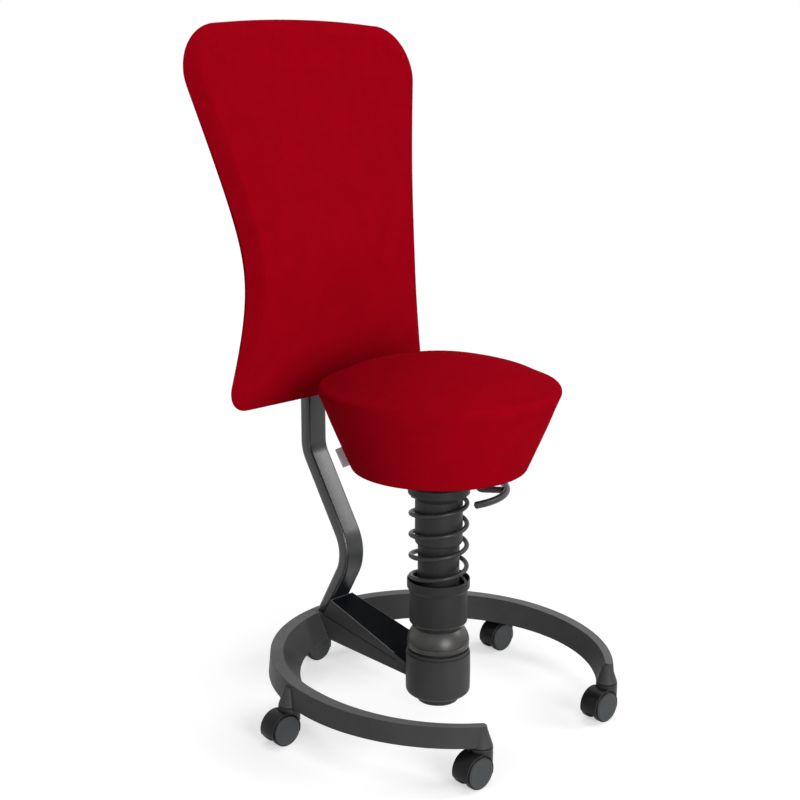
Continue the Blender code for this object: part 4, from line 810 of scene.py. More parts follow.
panelRows = [panelRow(0.0), panelRow(ridgeEnd - armSet["panelShort"])]
panelMesh = carved(loops(panelRows), [(footRoom, "DIFFERENCE")])
addPiece("panel", moved(panelMesh, home), panelCoat, "base", ["arm_cover"])

# Thin pale beads where the arm's sides meet the ring, and along the bracket's ridges and back: painted
# highlights on these edges
highlightBeads = []
for side in (-1, 1):
    jointPath = []
    for i in range(13):
        z = ringTop - armSet["jointTop"] + (ringLow - ringTop + armSet["jointShort"]) * i / 12
        drop = (ringTop - z) / ringSet["height"]
        half = between(ringBackY, armStartY, armSet["halfWidth"], armEndY, armSet["topHalf"])
        half += (armSet["halfWidth"] - half) * drop
        across = ringSet["halfWidth"] - ringBand(math.pi) * (1 - drop)
        across -= (ringSet["band"] + ringSet["backFlare"]) * drop
        spot = ringPoint(math.pi + math.asin(side * half / across), across, z)
        jointPath.append(spot + Vector((side * armSet["jointSide"], -armSet["jointFront"], 0)))
    highlightBeads.append(sweep(jointPath, ringOf(armSet["bead"], 12), (0, 1, 1)))
    start = ridgePoint(armSet["lineFrom"], side, armSet["lift"])
    end = ridgePoint(ridgeEnd - armSet["lineShort"], side, armSet["lift"])
    highlightBeads.append(beadLine(start, end, armSet["lineBead"], (1, 0, 0)))
left, right = (ridgePoint(ridgeEnd - armSet["backShort"], side, armSet["lift"]) for side in (-1, 1))
highlightBeads.append(beadLine(left, right, armSet["lineBead"], (0, 1, 0)))
addPiece("highlight_beads", moved(joined(highlightBeads), home), highlightCoat, "base", [])

# Dark line along the foot of the bracket's sides: painted shade in the crease
creaseShades = []
for side in (-1, 1):
    front = Vector((side * armSet["halfWidth"], armStartY, creaseFrontZ))
    back = Vector((side * creaseHalf, creaseEndY, creaseBackZ))
    creaseShades.append(beadLine(front.lerp(back, armSet["creaseShadeFrom"]), back, armSet["creaseShadeBead"], (1, 0, 0)))
addPiece("bracket_crease_shade", moved(joined(creaseShades), home), panelCoat, "base", [])
print("arm, bracket, panel and mast made")

# Foot housing, rubber parts and the dial
# Steps are (in from the radius, up, rounding)
footSet = {"radius": 0.0555, "bore": 0.0458, "baseRadius": 0.0410, "curve": 0.0105, "belly": 0.0004,
           "bellyRise": 0.040, "rimStep": 0.002, "rimHeight": 0.006, "floor": 0.008, "studHole": 0.0065,
           "rise": 0.009,
           "steps": ((0.0002, 0, 0.0009), (0.003, 0.0004, 0.0004), (0.003, 0.0018, 0.0003),
                     (0.002, 0.0022, 0.0005))}
collarSet = {"radius": 0.0533, "neck": 0.0478, "neckHeight": 0.0046, "lipIn": 0.0008, "lipRise": 0.0024,
             "bore": 0.0405, "sphere": 0.0655}
skirtSet = {"sphere": 0.0664, "throat": math.radians(25), "lip": math.radians(52), "lipWall": 0.0014,
            "lipRise": 0.0004, "domeRadius": 0.0540, "domeHeight": 0.047, "domeZ": 0.1139, "rise": 0.006,
            "bore": 0.0133}
dialSet = {"radius": 0.0378, "height": 0.0116, "stud": 0.006, "edge": 0.0004,
           "steps": ((0.0028, 0, 0.0014), (0.0012, 0.0030, 0.0012), (0.0006, 0.0066, 0.0003),
                     (0, 0.0072, 0.0003)),
           "nub": (0.0045, 0.0170, 0.0052), "nubOut": 0.0288, "nubDrop": 0.0078,
           "nubTurn": math.radians(-32.5)}
footLow, footTop = lowZ("foot_housing"), highZ("foot_housing") + footSet["rise"]
footRim, footFloor = footTop - footSet["rimHeight"], footLow + footSet["floor"]


def globe(radius, start, end, steps):
    turns = [start + (end - start) * i / steps for i in range(steps + 1)]
    return [(radius * math.sin(a), pivotZ + radius * math.cos(a)) for a in turns]


corner = [(footSet["baseRadius"] + (footSet["radius"] - footSet["baseRadius"]) * math.sin(a),
           footLow + footSet["curve"] * (1 - math.cos(a))) for a in [math.pi / 2 * i / 14 for i in range(15)]]
corner.append((footSet["radius"] + footSet["belly"], footLow + footSet["bellyRise"], 0.02))
rimSteps = [(footSet["radius"] - inward, footRim + rise, easing)
            for inward, rise, easing in footSet["steps"]]
footProfile = eased([(footSet["studHole"], footLow)] + corner + rimSteps + [
    (footSet["radius"] - footSet["rimStep"], footTop, 0.0010), (footSet["bore"], footTop, 0.0006),
    (footSet["bore"], footFloor), (footSet["studHole"], footFloor)])
addTurned("foot", footProfile, 112, footCoat, "base", "foot_housing")

collarLow = lowZ("rubber_collar") + footSet["rise"]
collarShoulder = collarLow + collarSet["neckHeight"]
bulge = [(collarSet["neck"], collarShoulder, 0.0003),
         (collarSet["radius"] - collarSet["lipIn"], collarShoulder, 0.0006),
         (collarSet["radius"], collarShoulder + collarSet["lipRise"], 0.0020)]
bulge += globe(collarSet["sphere"], math.asin(collarSet["radius"] / collarSet["sphere"]),
               math.asin(collarSet["bore"] / collarSet["sphere"]), 14)
collarProfile = eased([(collarSet["bore"], collarLow, 0.0005),
                       (collarSet["neck"], collarLow, 0.0005)] + bulge)
addTurned("collar", collarProfile, 112, collarRubber, "base", "rubber_collar")

skirtTop = highZ("joint_skirt") + skirtSet["rise"]
skirtInside = globe(skirtSet["sphere"], skirtSet["throat"], skirtSet["lip"], 12)
skirtEdge = globe(skirtSet["sphere"] + skirtSet["lipWall"], skirtSet["lip"], skirtSet["lip"], 1)[0]
domeLow = skirtEdge[1] + skirtSet["lipRise"]
dome = []
for i in range(15):
    z = domeLow + (skirtTop - domeLow) * i / 14
    level = (z - skirtSet["domeZ"]) / skirtSet["domeHeight"]
    dome.append((skirtSet["domeRadius"] * math.sqrt(1 - level ** 2), z))
skirtBore = [(skirtSet["bore"], skirtTop), (skirtSet["bore"], skirtInside[0][1])]
skirtProfile = eased(skirtInside + dome + skirtBore)
addTurned("skirt", skirtProfile, 112, collarRubber, "column", "joint_skirt")

ribTree, rib = newTree("grip_ribs", {"Count": 12, "Radius": 0.02, "Rib Radius": 0.001,
                                     "Low": 0.0, "High": 0.01})
ribDots = rib["Geometry"].node("GeometryNodeMeshCircle", None,
                               {"Vertices": rib["Count"], "Radius": rib["Radius"]})
ribRod = rib["Geometry"].node("GeometryNodeMeshCylinder", {"fill_type": "NGON"}, {
    "Vertices": 10, "Side Segments": 1, "Radius": rib["Rib Radius"], "Depth": rib["High"] - rib["Low"]})
ribRows = rib["Geometry"].node("GeometryNodeInstanceOnPoints", None, {"Points": ribDots, "Instance": ribRod})
ribLift = rib["Geometry"].node("ShaderNodeCombineXYZ", None, {"Z": (rib["High"] + rib["Low"]) * 0.5})
ribRaised = rib["Geometry"].node("GeometryNodeTranslateInstances", None, {
    "Instances": ribRows, "Translation": ribLift, "Local Space": False})
endTree(ribRaised, gripPlastic)

dialTop = footLow - play
dialLow = dialTop - dialSet["height"]
dialSteps = [(dialSet["radius"] - inward, dialLow + rise, easing)
             for inward, rise, easing in dialSet["steps"]]
dialProfile = eased([(0, dialLow)] + dialSteps + [
    (dialSet["radius"], dialTop, 0.0005), (dialSet["stud"], dialTop), (dialSet["stud"], footFloor),
    (0, footFloor)])
nub = swung(block(dialSet["nub"], (0, -dialSet["nubOut"], dialTop - dialSet["nubDrop"])), dialSet["nubTurn"])
dialMesh = carved(turned(dialProfile, 96), [(nub, "UNION")])
dial = addPiece("dial", moved(dialMesh, home), dialPlastic, "dial", ["tension_dial"])
addBevel(dial, dialSet["edge"], 2, 50.0)
print("foot made")

# Sprung column
columnSet = {"cupBase": 0.043, "cupRadius": 0.0497, "cupChamfer": 0.010, "rimRadius": 0.0537,
             "rimWall": 0.0016, "rimHeight": 0.015, "rimCone": 0.005, "mouth": 0.017, "floor": 0.018,
             "studDepth": 0.0108, "stud": 0.0133, "lowerRadius": 0.0356, "lowerWall": 0.0033,
             "bushWall": 0.0023, "upperRadius": 0.0405, "upperBore": 0.0385, "capRadius": 0.0525,
             "capBore": 0.0408, "capCone": 0.010, "capLip": 0.0007, "capSocket": 0.0148, "stand": 0.0245,
             "standWall": 0.0025, "standFloor": 0.006, "standProud": 0.0001, "guide": 0.030,
             "guideEnd": 0.0325, "cylinder": 0.014, "rodHole": 0.0055, "buttonHole": 0.0050,
             "buttonDepth": 0.0106, "rodDepth": 0.012, "glossFrom": 0.042, "tubeMouth": 0.0012,
             "tubeLead": 0.0024}
cupSeat, cupTop = lowZ("spring_cup"), highZ("spring_cup")
cupLow = cupSeat + skirtSet["rise"]
cupLedge = cupTop - columnSet["mouth"]
rimLow = cupTop - columnSet["rimHeight"]
mouthRadius = columnSet["rimRadius"] - columnSet["rimWall"]
tubeHole = columnSet["lowerRadius"] + play
cupFloor, studTop = cupSeat + columnSet["floor"], cupSeat + columnSet["studDepth"]
chamferTop = cupLow + columnSet["cupChamfer"]
cupProfile = eased([
    (0, cupFloor), (tubeHole, cupFloor), (tubeHole, cupLedge, 0.0006), (mouthRadius, cupLedge, 0.0005),
    (mouthRadius, cupTop, 0.0005), (columnSet["rimRadius"], cupTop, 0.0009),
    (columnSet["rimRadius"], rimLow, 0.0025), (columnSet["cupRadius"], rimLow - columnSet["rimCone"], 0.003),
    (columnSet["cupRadius"], chamferTop, 0.0016), (columnSet["cupBase"], cupLow, 0.0012),
    (columnSet["stud"], cupLow), (columnSet["stud"], studTop), (0, studTop)])
cupMesh = turned(cupProfile, 112)
for face in cupMesh.faces:  # the chamfer shines
    spot = face.calc_center_median()
    onChamfer = cupLow < spot.z < chamferTop and spot.xy.length > columnSet["glossFrom"]
    face.material_index = 1 if onChamfer else 0
addPiece("cup", moved(cupMesh, home), [columnCoat, cupGloss], "column", ["spring_cup"])


def tubeProfile(bore, radius, low, high, edge=0.0006):
    return eased([(bore, low, edge), (radius, low, edge), (radius, high, edge), (bore, high, edge)])


lowerTube = tubeProfile(columnSet["lowerRadius"] - columnSet["lowerWall"], columnSet["lowerRadius"],
                        lowZ("lower_tube"), highZ("lower_tube"))
addTurned("tube_lower", lowerTube, 96, columnCoat, "column", "lower_tube")
bushProfile = tubeProfile(tubeHole, tubeHole + columnSet["bushWall"],
                          lowZ("guide_bush"), highZ("guide_bush"), 0.0004)
addTurned("bush", bushProfile, 96, paleBush, "carriage", "guide_bush")
upperLow, upperTop = lowZ("upper_tube"), highZ("upper_tube")
upperProfile = eased([
    (columnSet["upperBore"], upperLow, 0.0003),
    (columnSet["upperRadius"] - columnSet["tubeMouth"], upperLow, 0.0004),
    (columnSet["upperRadius"], upperLow + columnSet["tubeLead"], 0.0012),
    (columnSet["upperRadius"], upperTop), (columnSet["upperBore"], upperTop)])
addTurned("tube_upper", upperProfile, 96, columnCoat, "carriage", "upper_tube")
capLow, capTop = lowZ("spring_cap"), highZ("spring_cap")
capPlate = capLow + columnSet["capSocket"]
capHole = columnSet["stand"] + play
capProfile = eased([
    (capHole, capPlate), (columnSet["capBore"], capPlate), (columnSet["capBore"], capLow),
    (columnSet["capBore"] + columnSet["capLip"], capLow, 0.0003),
    (columnSet["capRadius"], capLow + columnSet["capCone"], 0.0016), (columnSet["capRadius"], capTop, 0.0022),
    (capHole, capTop, 0.0005)])
addTurned("cap", capProfile, 112, columnCoat, "carriage", "spring_cap")

coilSet = {"Radius": 0.0474, "Wire": 0.0041, "Turns": 4.65, "Ease": 0.6, "Start": math.radians(-123),
           "Count": 560}
coilTree, coil = newTree("coil", {"Radius": 0.05, "Wire": 0.004, "Turns": 4.0, "Ease": 0.5, "Start": 0.0,
                                  "Count": 300, "Low": 0.0, "High": 0.1})
anyWire = coil["Geometry"]
line = anyWire.node("GeometryNodeMeshLine", None, {"Count": coil["Count"]})
along = anyWire.node("GeometryNodeInputIndex") / (coil["Count"] - 1) * coil["Turns"]
lead = anyWire.math("MINIMUM", along, coil["Ease"])
tail = anyWire.math("MAXIMUM", along - (coil["Turns"] - coil["Ease"]), 0.0)
climb = (lead * lead - tail * tail) / (coil["Ease"] * 2.0) + along - lead
height = coil["Low"] + climb / (coil["Turns"] - coil["Ease"]) * (coil["High"] - coil["Low"])
spin = coil["Start"] + along * math.tau
spot = anyWire.node("ShaderNodeCombineXYZ", None, {
    "X": coil["Radius"] * anyWire.math("COSINE", spin, 0.0),
    "Y": coil["Radius"] * anyWire.math("SINE", spin, 0.0), "Z": height})
placed = anyWire.node("GeometryNodeSetPosition", None, {"Geometry": line, "Position": spot})
curve = anyWire.node("GeometryNodeMeshToCurve", None, {0: placed})
gauge = anyWire.node("GeometryNodeCurvePrimitiveCircle", None, {"Resolution": 20, "Radius": coil["Wire"]})
endTree(anyWire.node("GeometryNodeCurveToMesh", None, {0: curve, 1: gauge, "Fill Caps": True}), springCoat)
coilFoot = cupLedge + play
coilHead = highZ("coil_spring")
coilLow, coilHigh = coilFoot + coilSet["Wire"], coilHead - coilSet["Wire"]
spring = fromTree("spring", coilTree, dict(coilSet, Low=coilLow, High=coilHigh),
                  bpy.data.meshes.new("spring"), "carriage", ["coil_spring"], home)
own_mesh(spring)

standLow, standTop = lowZ("stand_tube"), capTop + columnSet["standProud"]
standFloor = standLow + columnSet["standFloor"]
standBore, guideBore = columnSet["stand"] - columnSet["standWall"], columnSet["cylinder"] + play
standProfile = eased([
    (0, standLow), (columnSet["stand"], standLow, 0.0008), (columnSet["stand"], standTop, 0.0008),
    (guideBore, standTop, 0.0006), (guideBore, capTop - columnSet["guide"]),
    (standBore, capTop - columnSet["guideEnd"]), (standBore, standFloor), (0, standFloor)])
addTurned("stand", standProfile, 72, blackSteel, "carriage", "stand_tube")
gasTop, gasLow = highZ("gas_cylinder"), lowZ("gas_cylinder")
gasProfile = eased([
    (columnSet["rodHole"], gasLow), (columnSet["cylinder"], gasLow, 0.0010),
    (columnSet["cylinder"], gasTop, 0.0012), (columnSet["buttonHole"], gasTop, 0.0004),
    (columnSet["buttonHole"], gasTop - columnSet["buttonDepth"]),
    (columnSet["rodHole"], gasTop - columnSet["rodDepth"])])
addTurned("gas_lift", gasProfile, 72, blackSteel, "lift", "gas_cylinder")
print("column and spring made")

# Castors: hood with neck, wheels with tyre and cap
axleZ = middle("castor_back_axle").z  # the wheels' radius too, since they stand on the floor
castorSet = {"wheel": axleZ, "width": 0.0119, "web": 0.015, "webRoom": 0.0005, "room": 0.001,
             "wall": 0.0013, "reveal": 0.0030, "trail": 0.0183, "yaw": math.radians(175.6), "neck": 0.018,
             "neckDepth": 0.0245, "stemHole": 0.0060, "stemDepth": 0.0135, "stemPast": 0.01,
             "wellPast": 0.05, "backTurn": math.radians(17), "frontTurn": math.radians(18),
             "hoodEdge": 0.0009, "bevel": 0.0004, "capRadius": 0.0243, "shoulder": 0.0024, "axle": 0.0035,
             "cover": 0.0022}
neckTop = highZ("castor_back_body")
wheelIn = castorSet["web"] / 2 + castorSet["webRoom"]
wheelOut = wheelIn + castorSet["width"]
hoodHalf = wheelOut - castorSet["reveal"]
wellRadius = castorSet["wheel"] + castorSet["room"]
hoodRadius = wellRadius + castorSet["wall"]
hoodSteps = 52


def alongAxle(bm, y=0.0):
    return moved(swung(bm, -math.pi / 2, "X"), (castorSet["trail"], y, axleZ))


def hoodRow(y, shrink):
    whole = math.pi + castorSet["backTurn"] + castorSet["frontTurn"]
    turns = [-castorSet["backTurn"] + whole * i / hoodSteps for i in range(hoodSteps + 1)]
    radius = hoodRadius - shrink
    return [(castorSet["trail"] + radius * math.cos(a), y, axleZ + radius * math.sin(a)) for a in turns]


hoodEdge = castorSet["hoodEdge"]
edgeTurns = [math.pi / 2 * i / 4 for i in range(5)]
edgeRows = [(hoodHalf - hoodEdge * (1 - math.sin(a)), hoodEdge * (1 - math.cos(a))) for a in edgeTurns]
hoodRows = [hoodRow(-y, shrink) for y, shrink in edgeRows[::-1]]
hoodRows += [hoodRow(y, shrink) for y, shrink in edgeRows]


def castorHood():
    neckLow = neckTop - castorSet["neckDepth"]
    neck = turned(eased([(0, neckLow), (castorSet["neck"], neckLow), (castorSet["neck"], neckTop, 0.0010),
                         (0, neckTop)]), 64)
    near, far = castorSet["web"] / 2, castorSet["wellPast"]
    well = [(0, near), (wellRadius, near), (wellRadius, far), (0, far)]
    wells = [alongAxle(turned([(r, side * y) for r, y in well], 72)) for side in (1, -1)]
    holeLow, holeTop = neckTop - castorSet["stemDepth"], neckTop + castorSet["stemPast"]
    hole = castorSet["stemHole"]
    stemHole = turned([(0, holeLow), (hole, holeLow), (hole, holeTop), (0, holeTop)], 32)
    return carved(loops(hoodRows), [(neck, "UNION"), (joined(wells), "DIFFERENCE"), (stemHole, "DIFFERENCE")])


def castorWheel(side):
    r, w = castorSet["wheel"], castorSet["width"]
    cap = castorSet["capRadius"]
    tread = [(castorSet["axle"], 0), (r, 0, 0.0014), (r, w - castorSet["shoulder"], 0.0014)]
    groove = [(cap + 0.0006, w - 0.0012, 0.0004), (cap + 0.0003, w - 0.0017, 0.0001),
              (cap, w - 0.0017, 0.0001), (cap - 0.0001, w - 0.0010, 0.0004)]
    dish = [(cap * 0.83, w - 0.0001, 0.0012), (cap * 0.79, w - 0.0001, 0.0006),
            (cap * 0.76, w - 0.0004, 0.0008), (cap * 0.4, w - 0.0003), (0, w - 0.0002)]
    inside = [(0, w - castorSet["cover"]), (castorSet["axle"], w - castorSet["cover"])]
    profile = eased(tread + groove + dish + inside, 3, 0.0002)
    bm = alongAxle(turned([(q, side * y) for q, y in profile], 72), side * wheelIn)
    for face in bm.faces:
        centre = face.calc_center_median()
        reachOut = math.hypot(centre.x - castorSet["trail"], centre.z - axleZ)
        face.material_index = 1 if reachOut < cap - 0.00005 and abs(centre.y) > wheelIn + w * 0.6 else 0
    return bm


def placeCastor(bm, place):
    return moved(swung(bm, castorSet["yaw"]), place)


hoodMesh = castorHood()
for face in hoodMesh.faces:  # the neck is paler grey plastic; the hood's rim gets the same paler plastic as a painted highlight
    centre = face.calc_center_median()
    reachOut = math.hypot(centre.x - castorSet["trail"], centre.z - axleZ)
    onNeck = centre.xy.length < castorSet["neck"] + 0.0002 and reachOut > hoodRadius + 0.0001
    rimHighlight = hoodHalf - hoodEdge < abs(centre.y) < hoodHalf - 0.00001
    face.material_index = 1 if onNeck or rimHighlight else 0
for name, place in castorPlaces.items():
    hood = addPiece(name + "_hood", placeCastor(hoodMesh.copy(), place), [hoodPlastic, neckAndRimHighlight], name,
                    [name + "_body"], 30.0)
    addBevel(hood, castorSet["bevel"], 2, 45.0)
    for letter, side in (("a", 1), ("b", -1)):
        wheel = name + "_wheel_" + letter
        addPiece(name + "_roller_" + letter, placeCastor(castorWheel(side), place), [tyrePlastic, capPlastic],
                 wheel, [wheel], 40.0)
hoodMesh.free()
print("castors made")

# Lever: flat bar, bent rod and arc handle
leverSet = {"turn": math.radians(-53), "bar": 0.006, "barHalf": 0.005, "tip": 0.003, "riser": 0.064,
            "riserDrop": 0.0012, "bend": 0.010, "handle": 0.113, "handleHalf": math.radians(52),
            "rod": 0.0055, "grip": 0.006, "gripEnd": 0.45, "pivot": 0.045, "pin": 0.0030, "pinHalf": 0.02}
leverOut = Vector((math.cos(leverSet["turn"]), math.sin(leverSet["turn"]), 0))
leverAcross = Vector((-leverOut.y, leverOut.x, 0))
barTop = highZ("height_lever")
barLow = barTop - leverSet["bar"]
handleZ = lowZ("height_lever") + leverSet["grip"]
barZ = barLow + leverSet["bar"] / 2
barLong = leverSet["riser"] + leverSet["rod"] / 2 + leverSet["tip"]
barMesh = block((barLong, 2 * leverSet["barHalf"], leverSet["bar"]), (barLong / 2 - leverSet["tip"], 0, barZ))
riserSpot = leverOut * leverSet["riser"]
riserPath = bentPath([riserSpot + up * (barTop - leverSet["riserDrop"]), riserSpot + up * handleZ,
                      leverOut * leverSet["handle"] + up * handleZ], (leverSet["bend"],), 16)
riser = sweep(riserPath, ringOf(leverSet["rod"], 28), leverAcross)


# A rod along a flat arc, closed by a small dome at both ends
def arcRod(radius, rod, middleTurn, halfTurn, z, steps=72, sides=28):
    rows = []
    for i in range(steps + 1):
        a = middleTurn + halfTurn * (2 * i / steps - 1)
        out = Vector((math.cos(a), math.sin(a), 0))
        rows.append((out * radius + up * z, out, 1.0))
    for end, sign in ((0, -1), (-1, 1)):
        point, out = rows[end][:2]
        ahead = Vector((-out.y, out.x, 0)) * sign * rod * leverSet["gripEnd"]
        domeTurns = [math.pi / 2 * k / 6 for k in range(1, 6)]
        cap = [(point + ahead * math.sin(a), out, math.cos(a) ** 0.5) for a in domeTurns]
        rows = cap[::-1] + rows if end == 0 else rows + cap
    return loops([[p + out * a * s + up * b * s for a, b in ringOf(rod, sides)] for p, out, s in rows])


handleBow = arcRod(leverSet["handle"], leverSet["grip"], leverSet["turn"], leverSet["handleHalf"], handleZ)
pinHalf = leverSet["pinHalf"]
pinHole = turned([(0, -pinHalf), (leverSet["pin"], -pinHalf), (leverSet["pin"], pinHalf), (0, pinHalf)], 24)
pinHole = swung(moved(swung(pinHole, math.pi / 2, "X"), (leverSet["pivot"], 0, barZ)), leverSet["turn"])
leverMesh = carved(swung(barMesh, leverSet["turn"]),
                   [(riser, "UNION"), (handleBow, "UNION"), (pinHole, "DIFFERENCE")])
addPiece("lever_bow", moved(leverMesh, home), springCoat, "lever", ["height_lever"])
print("lever made")

# Seat frame pieces under the cushion
hubSet = {"bore": 0.0143, "neck": 0.0075, "ledge": 0.0021, "slot": 0.05, "slotRoom": 0.001,
          "slotDrop": 0.0034}
hubRadius = (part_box("seat_hub")[1].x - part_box("seat_hub")[0].x) / 2
hubLow, hubTop = lowZ("seat_hub"), highZ("seat_hub")
ledgeLow, ledgeTop = gasTop + play, gasTop + hubSet["ledge"]
easedCopy("seat_plate", "plate", blackSteel, "seat", 0.0008)
easedCopy("lever_bracket", "lever_cheeks", blackSteel, "seat", 0.0005)
hubProfile = eased([
    (hubSet["bore"], hubLow, 0.0005), (hubRadius, hubLow, 0.0012), (hubRadius, hubTop, 0.0006),
    (hubSet["bore"], hubTop), (hubSet["bore"], ledgeTop), (hubSet["neck"], ledgeTop),
    (hubSet["neck"], ledgeLow), (hubSet["bore"], ledgeLow)])
slotLong = hubSet["slot"]
hubSlot = block((slotLong, 2 * leverSet["barHalf"] + hubSet["slotRoom"], slotLong),
                (slotLong / 2, 0, barLow - hubSet["slotDrop"] + slotLong / 2))
hubMesh = carved(turned(hubProfile, 72), [(swung(hubSlot, leverSet["turn"]), "DIFFERENCE")])
addPiece("hub", moved(hubMesh, home), blackSteel, "seat", ["seat_hub"])

screwTree, screw = newTree("screws", {"Head": 0.005, "Height": 0.003, "Socket": 0.0022})
headWire = screw["Geometry"]
head, key = (headWire.node("GeometryNodeMeshCylinder", {"fill_type": "NGON"}, {
    "Vertices": sides, "Radius": screw[size], "Depth": screw["Height"]})
    for sides, size in ((28, "Head"), (6, "Socket")))
keyDrop = headWire.node("ShaderNodeCombineXYZ", None, {"Z": screw["Height"] * -0.55})
keyDown = headWire.node("GeometryNodeTransform", None, {0: key, "Translation": keyDrop})
pierced = headWire.node("GeometryNodeMeshBoolean", {"operation": "DIFFERENCE"}, {0: head, 1: keyDown})
screwRow = headWire.node("GeometryNodeInstanceOnPoints", None, {"Points": headWire, "Instance": pierced})
endTree(screwRow, bareSteel)


def dots(points):
    mesh = bpy.data.meshes.new("dots")
    mesh.from_pydata([tuple(p) for p in points], [], [])
    return mesh


screwSet = {"Head": 0.0055, "Height": 0.0030, "Socket": 0.0026, "out": 0.055, "hang": 0.0014}
screwZ, sides = lowZ("seat_plate") - screwSet["hang"], (-screwSet["out"], screwSet["out"])
plateScrews = [home + Vector((x, y, screwZ)) for x in sides for y in sides]
fromTree("plate_screws", screwTree, screwSet, dots(plateScrews), "seat", [])
print("seat frame made")


# Soft pieces: a voxel copy of the sewn shape swells in the cloth solver, its travel is capped and evened out
# and then carried over to the finer sewn mesh, which is subdivided once
swellSet = {"voxel": 0.006, "pressure": 4.0, "cap": 0.0050, "even": 40, "stiffness": 18.0, "bending": 1.5,
            "frames": 20, "nearby": 6, "blend": 0.001}


def coordinates(mesh):
    flat = numpy.empty(len(mesh.vertices) * 3, dtype=numpy.float32)
    mesh.vertices.foreach_get("co", flat)
    return flat.reshape(-1, 3).astype(float)


def evenedOut(field, mesh, times):
    ends = numpy.empty(len(mesh.edges) * 2, dtype=numpy.int32)
    mesh.edges.foreach_get("vertices", ends)
    first, second = ends.reshape(-1, 2).T
    count = numpy.bincount(ends, minlength=len(field))[:, None]
    for number in range(times):
        total = numpy.zeros_like(field)
        for near, far in ((first, second), (second, first)):
            for axis in range(3):
                total[:, axis] += numpy.bincount(near, weights=field[far, axis], minlength=len(field))
        field = field * 0.5 + total / count * 0.5
    return field


def swelling(piece, held):
    helper = bpy.data.objects.new(piece.name + "_swelling", piece.data.copy())
    scene.collection.objects.link(helper)
    remesh = helper.modifiers.new("remesh", "REMESH")
    remesh.mode = "VOXEL"
    remesh.voxel_size = swellSet["voxel"]
    mesh = evaluatedMesh(helper)
    helper.modifiers.clear()
    helper.data = mesh
    start = coordinates(mesh)
    group = helper.vertex_groups.new(name="held")
    for i, co in enumerate(start):
        group.add([i], held(Vector(co)), "REPLACE")
    cloth = helper.modifiers.new("swell", "CLOTH")
    cloth.settings.vertex_group_mass = "held"
    cloth.settings.use_pressure = True
    cloth.settings.uniform_pressure_force = swellSet["pressure"]
    cloth.settings.effector_weights.gravity = 0.0
    cloth.settings.tension_stiffness = swellSet["stiffness"]
    cloth.settings.compression_stiffness = swellSet["stiffness"]
    cloth.settings.bending_stiffness = swellSet["bending"]
    for number in range(1, swellSet["frames"] + 1):
        scene.frame_set(number)
    graph = bpy.context.evaluated_depsgraph_get()
    travel = coordinates(helper.evaluated_get(graph).data) - start
    scene.frame_set(1)
    length = numpy.linalg.norm(travel, axis=1, keepdims=True)
    travel = travel * numpy.minimum(1.0, swellSet["cap"] / numpy.maximum(length, 1e-9))
    travel = evenedOut(travel, mesh, swellSet["even"])
    bpy.data.objects.remove(helper)
    return start, travel


def swell(piece, held, soft):
    start, travel = swelling(piece, held)
    tree = KDTree(len(start))
    for i, co in enumerate(start):
        tree.insert(co, i)
    tree.balance()
    most = 0.0
    for vertex in piece.data.vertices:
        push, total = Vector(), 0.0
        for place, i, away in tree.find_n(vertex.co, swellSet["nearby"]):
            push += Vector(travel[i]) / (away + swellSet["blend"])
            total += 1.0 / (away + swellSet["blend"])
        push *= soft(vertex.co) / total
        most = max(most, push.length)
        vertex.co += push
    print(piece.name, "swelled by up to", round(most * 1000, 2), "mm")
    subdivision = piece.modifiers.new("subdivide", "SUBSURF")
    subdivision.levels = 1
    subdivision.render_levels = 1


def ramp(value, low, high):
    t = min(max((value - low) / (high - low), 0.0), 1.0)
    return t * t * (3 - 2 * t)


seatSet = {"crown": 0.0525, "sunk": 0.0045, "power": 1.6, "topShare": 0.87, "rimRound": 0.011,
           "bottomRound": 0.007, "lipRound": 0.004, "bottomRadius": 0.1464, "sides": 144, "pinOut": 0.012,
           "stillOut": 0.010, "pinUp": 0.004, "pinLow": 0.006, "softFrom": 0.004, "softTo": 0.07,
           "rimFrom": 0.008, "rimTo": 0.06, "rimSoft": 0.25}
seatLow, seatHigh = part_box("seat_cushion")
seatRadius = (seatHigh.x - seatLow.x) / 2
recess = (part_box("seat_pan")[1].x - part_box("seat_pan")[0].x) / 2 + play
panTop = highZ("seat_pan") + play
rimZ = seatHigh.z - seatSet["crown"]


def seatProfile():
    top = []
    for i in range(27):
        r = seatRadius * seatSet["topShare"] * i / 26
        fall = (r / seatRadius) ** seatSet["power"]
        top.append((r, rimZ + (seatSet["crown"] - seatSet["sunk"]) * (1 - fall)))
    rim = Vector((seatRadius, rimZ))
    bottom = Vector((seatSet["bottomRadius"], seatLow.z))
    side = [tuple(rim + (bottom - rim) * (0.2 + 0.6 * i / 12)) for i in range(13)]
    wall = [(recess, seatLow.z + (panTop - seatLow.z) * t) for t in (0.25, 0.5, 0.75)]
    rounded = [tuple(bottom) + (seatSet["bottomRound"],), (recess, seatLow.z, seatSet["lipRound"])]
    inside = wall + [(recess, panTop), (recess * 0.5, panTop), (0, panTop)]
    return eased(top + [tuple(rim) + (seatSet["rimRound"],)] + side + rounded + inside, 8, 0.003)


def seatHeld(co):
    r = math.hypot(co.x - home.x, co.y - home.y)
    if r < recess + seatSet["pinOut"] and co.z < panTop + seatSet["pinUp"]:
        return 1.0
    return 1.0 if co.z < seatLow.z + seatSet["pinLow"] else 0.0


